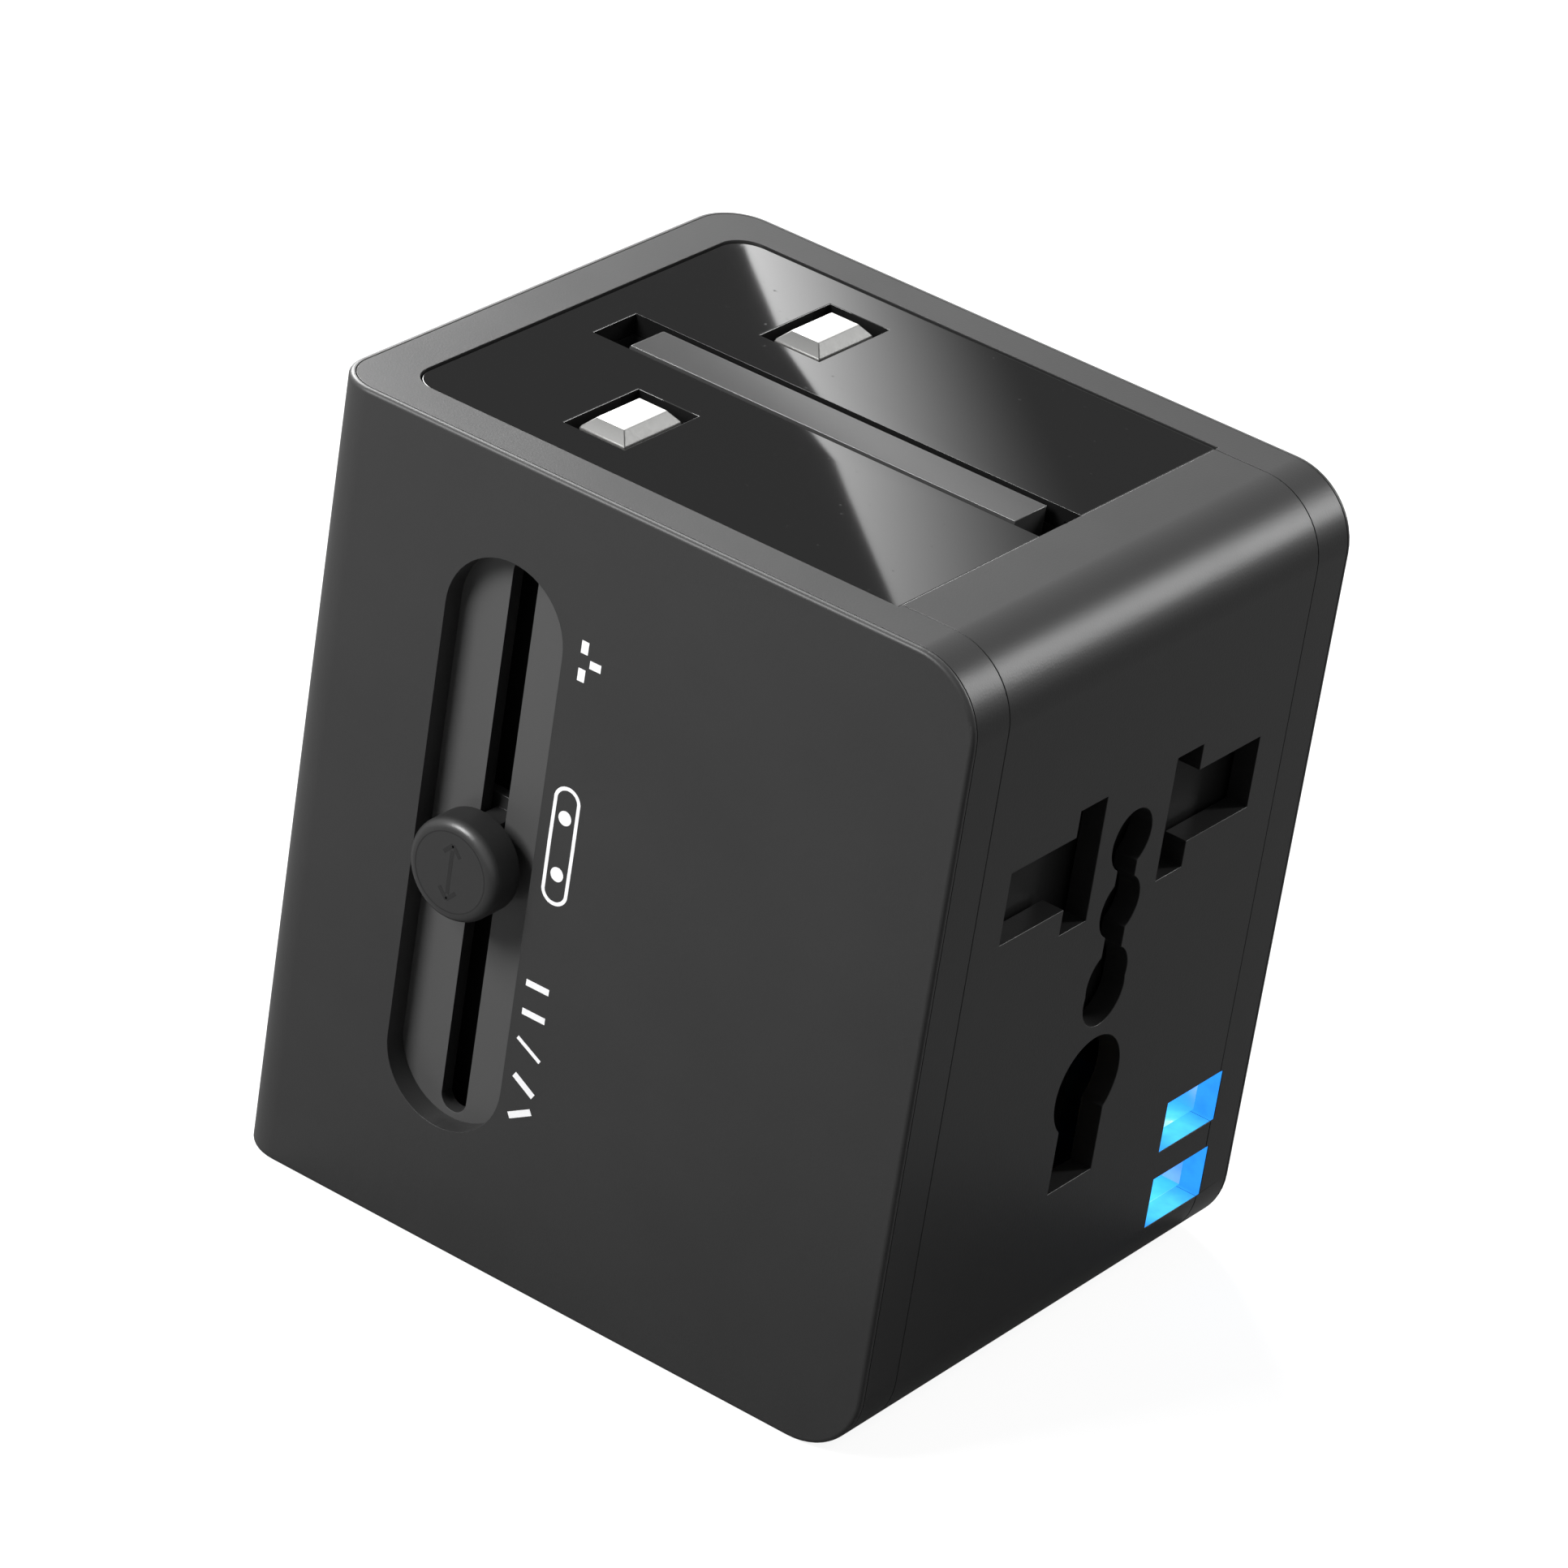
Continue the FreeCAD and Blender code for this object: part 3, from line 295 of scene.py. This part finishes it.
# %% The plastics of the part
casing = satin_plastic("casing_satin", 0.031, 0.42)
# The cover is set darker than the casing: painted shade, which keeps its socket side dark.
cover_book = satin_book("cover_satin", 0.020, 0.34, specular=0.27)
cover_plastic = cover_book.material
carrier_plastic = satin_plastic("carrier_satin", 0.045, 0.30, 0.006, 0.5)
knob_plastic = knob_satin("knob_satin", 0.023, 0.32)
track_plastic = track_satin("track_satin", 0.076, 0.32)
inner_plastic = satin_plastic("inner_plastic", 0.012, 0.6, specular=0.12)
earth_plastic = satin_plastic("earth_pin_plastic", 0.055, 0.14, 0.002, 0.5)
shutter_plastic = satin_plastic("shutter_plastic", 0.008, 0.5, specular=0.15)
panel_gloss = polished_plastic("panel_gloss", 0.008)


# %% [markdown]
# **Metals.** Pins are brass under a bright nickel plate, drawn along their length, so their
# scratches are long and very narrow.  Noise stretched 25 times along Z makes them, where lines laid
# out by hand would repeat.  Contacts are bare brass, and springs and screws are steel.

# %% Metals
DRAWN_ALONG_Z = (1, 1, 0.04)
NO_DIRECTION = (1, 1, 1)


def metal_book(name, colour, rough, stretch=DRAWN_ALONG_Z):
    book = Book(name)
    mapped = book.add("ShaderNodeMapping", None, {"Vector": book.place(), "Scale": stretch})
    lines = book.noise(0.12 * MM, 2, at=mapped)
    book.set(base_color=(*colour, 1), metallic=1.0, roughness=lines * 0.14 + (rough - 0.07))
    book.bump(lines, 0.003 * MM, 0.4)
    return book


def drawn_metal(*choices):
    return metal_book(*choices).material


def plug_pin_metal(name, bright, bevel_shade, rough):
    """Nickel plate on shank and end face, with the bevels cut between them painted dark as painted shade."""
    book = metal_book(name, bright, rough)
    lean = book.facing(2).math("ABSOLUTE")
    bevel = lean.within(0.15, 0.4) * (1 - lean.within(0.8, 0.97))
    # The bevels take a much darker colour than shank and end face: painted shade.
    book.set(base_color=book.blend(bevel, (*bright, 1), (*bevel_shade, 1)))
    return book.material


nickel = drawn_metal("nickel_plate", (0.80, 0.79, 0.77), 0.34)
pin_nickel = plug_pin_metal("pin_nickel", (0.62, 0.615, 0.60), (0.10, 0.10, 0.098), 0.43)
brass = drawn_metal("contact_brass", (0.78, 0.58, 0.28), 0.32)
steel = drawn_metal("bright_steel", (0.56, 0.56, 0.57), 0.3)
dark_screw = drawn_metal("black_screw", (0.10, 0.10, 0.11), 0.4, NO_DIRECTION)


# %% [markdown]
# **Small parts.** The fuse is glazed ceramic, the board is green lacquer over copper, and the
# charger's blocks are black.  Each gets a faint cloud in its colour, so that none is quite flat.

# %% Fuse, board and ink
def plain_finish(name, colour, rough, change=0.1):
    book = Book(name)
    cloud = book.noise(3 * MM, 2)
    dark = tuple(part * (1 - change) for part in colour)
    light = tuple(part * (1 + change) for part in colour)
    book.set(base_color=book.blend(cloud, (*dark, 1), (*light, 1)), roughness=rough)
    return book.material


ceramic = plain_finish("fuse_ceramic", (0.80, 0.77, 0.70), 0.25, 0.04)
board_green = plain_finish("board_lacquer", (0.02, 0.14, 0.06), 0.3)
part_black = plain_finish("part_black", (0.02, 0.02, 0.022), 0.45)
white_ink = plain_finish("white_ink", (0.93, 0.93, 0.94), 0.5, 0.03)
dark_ink = plain_finish("dark_ink", (0.004, 0.004, 0.004), 0.7)


# %% [markdown]
# ** Lit ports.** A small blue lamp behind the charging ports lights their tongues and the walls of
# their mouths.  A real lamp in there would need many samples to come out clean, so the tongues and
# the walls glow by themselves, as painted light: nearly cyan in the middle of the width and deeper at
# the sides.  The glow is kept to the two mouths by place, because the cover they are cut in is one
# piece with its outside.

# %% Blue light
BLUE_MIDDLE = (0.07, 0.60, 1.0, 1)
BLUE_SIDES = (0.02, 0.26, 0.95, 1)
BLUE_POWER = 1.5
EDGE_SKIN = 0.04 * MM
FACE_SKIN = 0.06 * MM


def blue_glow(book, lit=1.0):
    """Painted blue glow where lit is 1."""
    aside = (book.axis(1) - PORT_MIDDLE).math("ABSOLUTE")
    colour = book.blend(aside.within(0.1 * PORT_HALF, 1.1 * PORT_HALF), BLUE_MIDDLE, BLUE_SIDES)
    power = book.noise(1.2 * MM, 2) * 0.4 + 0.6
    book.set(emission_color=book.blend(power * lit, grey(0.0), colour),
             emission_strength=BLUE_POWER)


def light_mouths(book):
    """Painted blue glow on the walls of the two mouths only, from behind the face inwards."""
    margin = PORT_WALL - EDGE_SKIN
    wide = book.axis(1).between(port_low.y + margin, port_high.y - margin)
    tall = 0
    for name in PORTS:
        bottom, top = (corner.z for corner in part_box(name))
        tall = book.axis(2).between(bottom + margin, top - margin) + tall
    deep = book.axis(0).between(port_low.x, RIGHT - FACE_SKIN)
    blue_glow(book, wide * tall * deep)


def painted_glow_blue(name):
    book = Book(name)
    book.set(base_color=(0.01, 0.05, 0.2, 1), roughness=0.3)
    # The tongues glow by themselves: painted light.
    blue_glow(book)
    return book.material


def port_steel(name):
    book = Book(name)
    cloud = book.noise(2 * MM, 2)
    book.set(base_color=book.blend(cloud, grey(0.30), grey(0.42)), metallic=1.0, roughness=0.35)
    light_mouths(book)
    return book.material


usb_blue = painted_glow_blue("usb_blue_light")
port_steel_painted_glow = port_steel("port_steel")
# The walls of the mouths in the cover glow too: painted light.
light_mouths(cover_book)

# %% [markdown]
# Each piece of the construction takes one finish.  The table goes from finish to pieces.

# %% Finishes of the carried-over pieces
FINISHES = {
    casing: ["main_shell"], cover_plastic: ["wrap_cover", "socket_cover"],
    panel_gloss: ["plug_panel", "blade_plate"], track_plastic: ["slider_track"],
    knob_plastic: ["slider_knob"], carrier_plastic: ["euro_carrier"],
    shutter_plastic: ["socket_shutter"], earth_plastic: ["earth_pin"],
    inner_plastic: ["shuttle_cage", "shuttle_block", "earth_channel", "euro_bay", "socket_block",
                    "blade_hub_live", "blade_hub_neutral"],
    pin_nickel: ["uk_pin_live", "uk_pin_neutral"],
    nickel: ["blade_live", "blade_neutral", "euro_pin_live", "euro_pin_neutral", "fuse_caps"],
    brass: ["live_wiper", "neutral_wiper", "live_busbar", "neutral_busbar", "live_contact",
            "neutral_contact", "earth_contact", "fuse_clips"],
    steel: ["knob_spring", "shutter_spring", "earth_axle", "euro_axle"],
    dark_screw: ["case_screws"], ceramic: ["fuse_body"], board_green: ["usb_board"],
    part_black: ["usb_transformer", "usb_capacitors", "usb_chip"],
    usb_blue: ["usb_tongue_upper", "usb_tongue_lower", "usb_light"],
    port_steel_painted_glow: list(PORTS),
}
bodies = frame["record"]["behaviour"]["bodies"]
BODY_OF = {node: body for body, held in bodies.items() for node in held}


def paint(piece, material):
    piece.data.materials.clear()
    piece.data.materials.append(material)


for material, names in FINISHES.items():
    for name in names:
        paint(nodes[name], material)
unpainted = set(nodes) - {name for names in FINISHES.values() for name in names}
print("finishes:", len(FINISHES), "pieces left without one:", sorted(unpainted))


# %% [markdown]
# **Softened edges.** No moulded or stamped edge is perfectly sharp, and the thin line of light on
# a rounded edge is what makes plastic look like plastic.  Each outer piece is copied, its loose
# triangles are merged back into flat faces, and a narrow bevel goes round its sharp edges.  The
# copy then stands for the piece it came from.  The table of widths is in millimetres.

# %% A copy that can be worked on
WELD = 1e-6
FLAT = math.radians(0.6)
SHARP = math.radians(40)
SMOOTH = math.radians(35)


def merged_copy(name, ending):
    """A copy of a piece, its triangles merged into flat faces, that stands for the piece."""
    piece = nodes[name].copy()
    piece.data = nodes[name].data.copy()
    for key in [key for key in piece.keys() if key.startswith("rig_")]:
        del piece[key]
    piece.name = name + ending
    piece.parent = None
    bpy.context.scene.collection.objects.link(piece)
    only(piece)
    bpy.ops.object.mode_set(mode="EDIT")
    bpy.ops.mesh.select_all(action="SELECT")
    bpy.ops.mesh.remove_doubles(threshold=WELD)
    bpy.ops.mesh.dissolve_limited(angle_limit=FLAT)
    object_mode()
    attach(piece, BODY_OF[name])
    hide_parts(name)
    return piece


def smooth_sides(piece):
    only(piece)
    bpy.ops.object.shade_smooth_by_angle(angle=SMOOTH)


# %% Eased copies of the outer pieces
def eased_copy(name, width):
    piece = merged_copy(name, "_eased")
    bevel = piece.modifiers.new("edge", "BEVEL")
    bevel.width = width
    bevel.segments = 2
    bevel.limit_method = "ANGLE"
    bevel.angle_limit = SHARP
    apply_all(piece)
    smooth_sides(piece)
    flatten = piece.modifiers.new("flat faces", "WEIGHTED_NORMAL")
    flatten.keep_sharp = True
    apply_all(piece)
    print(piece.name, len(piece.data.polygons), "faces")
    return piece


EDGE_WIDTHS = {"wrap_cover": 0.05, "socket_cover": 0.05, "plug_panel": 0.08, "blade_plate": 0.08,
               "slider_track": 0.10, "slider_knob": 0.06, "uk_pin_live": 0.08,
               "uk_pin_neutral": 0.08, "earth_pin": 0.12, "euro_bay": 0.10, "main_shell": 0.06}
for name, width in EDGE_WIDTHS.items():
    eased_copy(name, width * MM)

for node in nodes.values():
    smooth_sides(node)

# %% [markdown]
# **Two small fits.** The steel shells of the charging ports stop short of the cover by the play of
# their assembly.  Drawn out until they meet the cover, they close the dark ring round each mouth.
# The spring under the push button is squeezed by the button's stroke, and the share of its length
# that the stroke leaves it is worked out.

# %% Port shells up to the cover
for name in PORTS:
    shell = merged_copy(name, "_fitted")
    rim_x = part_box(name)[1].x
    gap = RIGHT - COVER_WALL - rim_x
    select_faces(shell, lambda face: abs(face.center.x - rim_x) < 0.01 * MM)
    bpy.ops.transform.translate(value=(gap, 0, 0))
    object_mode()
    smooth_sides(shell)
    print(shell.name, "drawn out by", round(gap / MM, 2), "mm")

# %% What the button's stroke leaves of the spring
spring = merged_copy("knob_spring", "_soft")
smooth_sides(spring)
spring_low, spring_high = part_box("knob_spring")
press = next(joint for joint in frame["joints"] if joint["name"] == "knob_press")
stroke = press["range_m"][1]
keep = 1 - stroke / (spring_high.y - spring_low.y)
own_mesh(spring)
print("spring keeps", round(keep, 2), "of its length")


# %% [markdown]
# **Printed marks.** Each of the three places of the slider has a small white picture of its pins,
# pad printed on the front face: three flat ones, two round ones in their oval plug, and two pairs
# of blades.  A mark is laid out on the face from planes and circles, the plug's outline is a circle
# pulled long and inset, and joined together they are extruded by the thickness of ink.

# %% Drawing helpers
def on_face(place, u, v):
    """A spot on the face round place: u millimetres down it and v to its right."""
    return (place.x + v * MM, place.y, place.z - u * MM)


def disc(place, u, v, radius, count=24):
    bpy.ops.object.select_all(action="DESELECT")
    bpy.ops.mesh.primitive_circle_add(vertices=count, radius=radius * MM, fill_type="NGON",
                                      location=on_face(place, u, v), rotation=(math.pi / 2, 0, 0))
    return settle(bpy.context.object)


def bar(place, u, v, long, wide, degrees=0.0):
    """A rectangle with its middle at u, v and its long side turned by degrees from u."""
    bpy.ops.object.select_all(action="DESELECT")
    bpy.ops.mesh.primitive_plane_add(size=1, location=on_face(place, u, v),
                                     rotation=(math.pi / 2, math.radians(90 - degrees), 0))
    bpy.context.object.scale = (long * MM, wide * MM, 1)
    return settle(bpy.context.object)


def hoop(place, u, v, half_long, half_wide, line, count=32):
    """The outline of a stadium: a disc pulled long, inset by the line and opened."""
    piece = disc(place, u, v, half_wide, count)
    pull = (half_long - half_wide) * MM
    middle = place.z - u * MM
    for side in (1, -1):
        bpy.ops.object.mode_set(mode="EDIT")
        bpy.ops.mesh.select_mode(type="VERT")
        bpy.ops.mesh.select_all(action="DESELECT")
        object_mode()
        for corner in piece.data.vertices:
            corner.select = (corner.co.z - middle) * side > 1e-7
        bpy.ops.object.mode_set(mode="EDIT")
        bpy.ops.transform.translate(value=(0, 0, side * pull))
        object_mode()
    select_faces(piece, lambda face: True)
    bpy.ops.mesh.inset(thickness=line * MM)
    bpy.ops.mesh.delete(type="FACE")
    object_mode()
    return piece


def print_mark(name, parts, material, body, thick=0.02):
    """Join the flat parts and give them the thickness of ink, outwards."""
    bpy.ops.object.select_all(action="DESELECT")
    for part in parts:
        part.select_set(True)
    piece = parts[0]
    bpy.context.view_layer.objects.active = piece
    bpy.ops.object.join()
    piece.name = name
    bpy.ops.object.mode_set(mode="EDIT")
    bpy.ops.mesh.select_all(action="SELECT")
    bpy.ops.mesh.extrude_region_move(TRANSFORM_OT_translate={"value": (0, -thick * MM, 0)})
    bpy.ops.mesh.select_all(action="SELECT")
    bpy.ops.mesh.normals_make_consistent(inside=False)
    object_mode()
    settle(piece)
    paint(piece, material)
    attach(piece, body)
    print(name, len(piece.data.polygons), "faces")
    return piece


# %% Marks of the three places
HOUSING = BODY_OF["main_shell"]

spot = Vector((-3.05 * MM, FRONT, 49.5 * MM))
three_flat = [bar(spot, -1.05, -0.45, 0.95, 0.6), bar(spot, 1.05, -0.45, 0.95, 0.6),
              bar(spot, 0, 0.6, 0.6, 0.95)]
print_mark("mark_flat_pins", three_flat, white_ink, HOUSING)

spot = Vector((-3.15 * MM, FRONT, 35.3 * MM))
two_round = [hoop(spot, 0, 0, 4.6, 1.15, 0.28),
             disc(spot, -2.2, 0, 0.55), disc(spot, 2.2, 0, 0.55)]
print_mark("mark_round_pins", two_round, white_ink, HOUSING)

spot = Vector((-3.4 * MM, FRONT, 19.0 * MM))
two_pairs = [bar(spot, -5.0, 0, 0.5, 2.0), bar(spot, -2.7, 0, 0.5, 2.0),
             bar(spot, 0, 0, 2.4, 0.3, 62),
             bar(spot, 2.9, 0, 2.1, 0.5, 60), bar(spot, 5.2, 0, 2.1, 0.5, 120)]
print_mark("mark_blades", two_pairs, white_ink, HOUSING)

# %% [markdown]
# ** The button's mark.** A double arrow says which ways the button slides. It is printed dark on
# dark, so it stays faint.  A hair-thin dark ring near the rim, joined to it, is painted shade: the line
# of a fine groove round the button's face.

# %% Arrow on the button
knob_middle = (knob_low + knob_high) / 2
knob_reach = (knob_high.z - knob_low.z) / 2 / MM
spot = Vector((knob_middle.x, KNOB_FACE, knob_middle.z))
# The last part, a thin ring near the rim, is painted shade: the dark line of a fine groove round the button's
# face.
arrow = [bar(spot, -1.75, 0.36, 1.05, 0.32, 43), bar(spot, -1.75, -0.36, 1.05, 0.32, 137),
         bar(spot, 0, 0, 3.4, 0.32), bar(spot, 1.75, 0.36, 1.05, 0.32, 137),
         bar(spot, 1.75, -0.36, 1.05, 0.32, 43),
         hoop(spot, 0, 0, knob_reach - 0.78, knob_reach - 0.78, 0.09, 64)]
print_mark("knob_arrow", arrow, dark_ink, BODY_OF["slider_knob"], 0.01)


# %% [markdown]
# **The surround.** It is white to the eye, to gloss and through glass.  As a source of light it is
# much dimmer, because an even white light from all sides would flatten the dark casing.

# %% Surround
SURROUND = 0.13
world = bpy.data.worlds.new("studio")
bpy.context.scene.world = world
world.use_nodes = True
sky = world.node_tree
background = sky.nodes["Background"]
background.inputs["Color"].default_value = (1, 1, 1, 1)
rays = sky.nodes.new("ShaderNodeLightPath")
shown = rays.outputs["Is Camera Ray"]
for kind in ("Is Glossy Ray", "Is Transmission Ray"):
    either = sky.nodes.new("ShaderNodeMath")
    either.operation = "MAXIMUM"
    sky.links.new(shown, either.inputs[0])
    sky.links.new(rays.outputs[kind], either.inputs[1])
    shown = either.outputs[0]
strength = sky.nodes.new("ShaderNodeMapRange")
sky.links.new(shown, strength.inputs[0])
strength.inputs[3].default_value = SURROUND
strength.inputs[4].default_value = 1.0
sky.links.new(strength.outputs[0], background.inputs["Strength"])

# %% [markdown]
# **The floor.** It looks white to the camera by its own light, and takes the adapter's shadow by
# the small share of light that it reflects.  A darker floor also keeps the socket side deep,
# because that side mirrors it.  It lies a hair below the adapter, so no two faces share one place.

# %% Floor
FLOOR_REFLECTS = 0.20
FLOOR_GLOWS = 0.90
FLOOR_DROP = 0.02 * MM
bpy.ops.object.select_all(action="DESELECT")
bpy.ops.mesh.primitive_plane_add(size=6, location=(0, 0, -FLOOR_DROP))
floor = bpy.context.object
floor.name = "floor"
floor_book = Book("floor_white")
camera_ray = floor_book.add("ShaderNodeLightPath")
floor_book.set(base_color=grey(FLOOR_REFLECTS), roughness=0.8, specular_ior_level=0.0,
               emission_color=floor_book.blend(camera_ray, grey(0.0), grey(FLOOR_GLOWS)),
               emission_strength=1.0)
paint(floor, floor_book.material)


# %% [markdown]
# **The lamps.** Three soft ones.  The key hangs close, above and in front, so its light falls off
# across the front face.  A large lamp behind on the left grazes the top and makes the rim
# stand out, and a tall one behind on the right draws the streak along the bend of the cover.

# %% Lamps
def soft_lamp(name, place, aim, size, power):
    data = bpy.data.lights.new(name, "AREA")
    data.shape = "RECTANGLE"
    data.size, data.size_y = size
    data.energy = power
    lamp = bpy.data.objects.new(name, data)
    bpy.context.scene.collection.objects.link(lamp)
    lamp.location = place
    lamp.rotation_euler = (Vector(aim) - Vector(place)).to_track_quat("-Z", "Y").to_euler()
    return lamp


middle = Vector((0, 0, TOP / 2))
soft_lamp("key", (-0.11, -0.21, 0.21), middle, (0.12, 0.12), 1.10)
soft_lamp("left back", (-0.64, 0.40, 0.50), middle, (0.35, 0.45), 13.5)
soft_lamp("right back", (0.43, 0.67, 0.46), middle, (0.12, 0.5), 4.4)

# %% [markdown]
# **The camera.** A long lens from in front and to the right, well above, keeps the block's edges
# nearly parallel.  It is tipped a few degrees, which sets the adapter on a slant.

# %% Camera
AZIMUTH, ELEVATION, ROLL = (math.radians(angle) for angle in (32.683, 28.226, 9.033))
AIM = Vector((-6.30, 8.78, 27.67)) * MM
DISTANCE = 556.8 * MM
LENS = 178.27
outward = Vector((math.sin(AZIMUTH) * math.cos(ELEVATION), -math.cos(AZIMUTH) * math.cos(ELEVATION),
                  math.sin(ELEVATION)))
untipped = Vector((math.cos(AZIMUTH), math.sin(AZIMUTH), 0))
right_hand = untipped * math.cos(ROLL) + outward.cross(untipped) * math.sin(ROLL)
overhead = outward.cross(right_hand)
camera_data = bpy.data.cameras.new("camera")
camera_data.lens = LENS
camera_data.sensor_width = 36
camera = bpy.data.objects.new("camera", camera_data)
bpy.context.scene.collection.objects.link(camera)
turn = Matrix((right_hand, overhead, outward)).transposed().to_4x4()
camera.matrix_world = Matrix.Translation(AIM + outward * DISTANCE) @ turn
bpy.context.scene.camera = camera
bpy.context.scene.view_settings.view_transform = "Standard"

# %% [markdown]
# **The card.** The polished panel is a mirror for what stands behind the adapter.  A dark card
# there keeps the white surround out of it.  Across the card runs one straight edge, which the
# panel shows as a line of light from its back left corner to its front right one, and the light
# dies away from that edge.

# %% Card for the polished panel
def mirrored_place(place):
    """Where a ray from the camera goes that meets the level panel at place, REACH past it."""
    eye = AIM + outward * DISTANCE
    below = Vector((eye.x, eye.y, 2 * place.z - eye.z))
    return place + (place - below).normalized() * REACH


REACH = 0.45
CARD_PEAK = 5.2
CARD_DARK = 0.13
CARD_END = 0.42
FALL = 1.7
FADE = 17 * MM
MARGIN = 8 * MM
HALF_CARD = 34 * MM
panel_low, panel_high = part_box("plug_panel")
start = Vector((panel_low.x, panel_high.y, panel_high.z))
end = Vector((panel_high.x, panel_low.y, panel_high.z))
along = (end - start).normalized()
across = Vector((-along.y, along.x, 0))
first = mirrored_place(start - along * MARGIN - across * HALF_CARD)
card_side = mirrored_place(end + along * MARGIN - across * HALF_CARD) - first
card_rise = mirrored_place(start - along * MARGIN + across * HALF_CARD) - first
bpy.ops.object.select_all(action="DESELECT")
bpy.ops.mesh.primitive_plane_add(size=1)
card = bpy.context.object
card.name = "card"
shape = Matrix((card_side, card_rise, card_side.cross(card_rise).normalized())).transposed()
card.data.transform(Matrix.Translation(first + (card_side + card_rise) / 2) @ shape.to_4x4())

edge_start = mirrored_place(start)
edge_line = mirrored_place(end) - edge_start
edge_long = edge_line.length
edge_line.normalize()
fade_way = mirrored_place(start + across * FADE) - edge_start
fade_way -= edge_line * fade_way.dot(edge_line)
fade_long = fade_way.length
fade_way.normalize()
card_book = Book("card_light")


def reach_along(way):
    """How far a spot on the card lies along a direction, from the start of the edge."""
    dot = card_book.add("ShaderNodeVectorMath", {"operation": "DOT_PRODUCT"},
                        {0: card_book.place(), 1: way}, output=1)
    return dot - way.dot(edge_start)


inwards = reach_along(fade_way)
fading = card_book.add("ShaderNodeMapRange", None,
                       {0: inwards, 1: 0.0, 2: fade_long, 3: 1.0, 4: 0.0})
running = card_book.add("ShaderNodeMapRange", None,
                        {0: reach_along(edge_line), 1: 0.0, 2: edge_long, 3: 1.0, 4: CARD_END})
light = fading.math("POWER", FALL) * running * inwards.above(0.0)
card_book.set(base_color=grey(0.0), specular_ior_level=0.0, emission_strength=CARD_PEAK,
              emission_color=card_book.blend(light, grey(CARD_DARK / CARD_PEAK), grey(1.0)))
paint(card, card_book.material)
card.visible_camera = False
card.visible_diffuse = False
card.visible_shadow = False

# %% [markdown]
# ** The end.** The last line brings the scene up to date.

# %% Last update
bpy.context.view_layer.update()
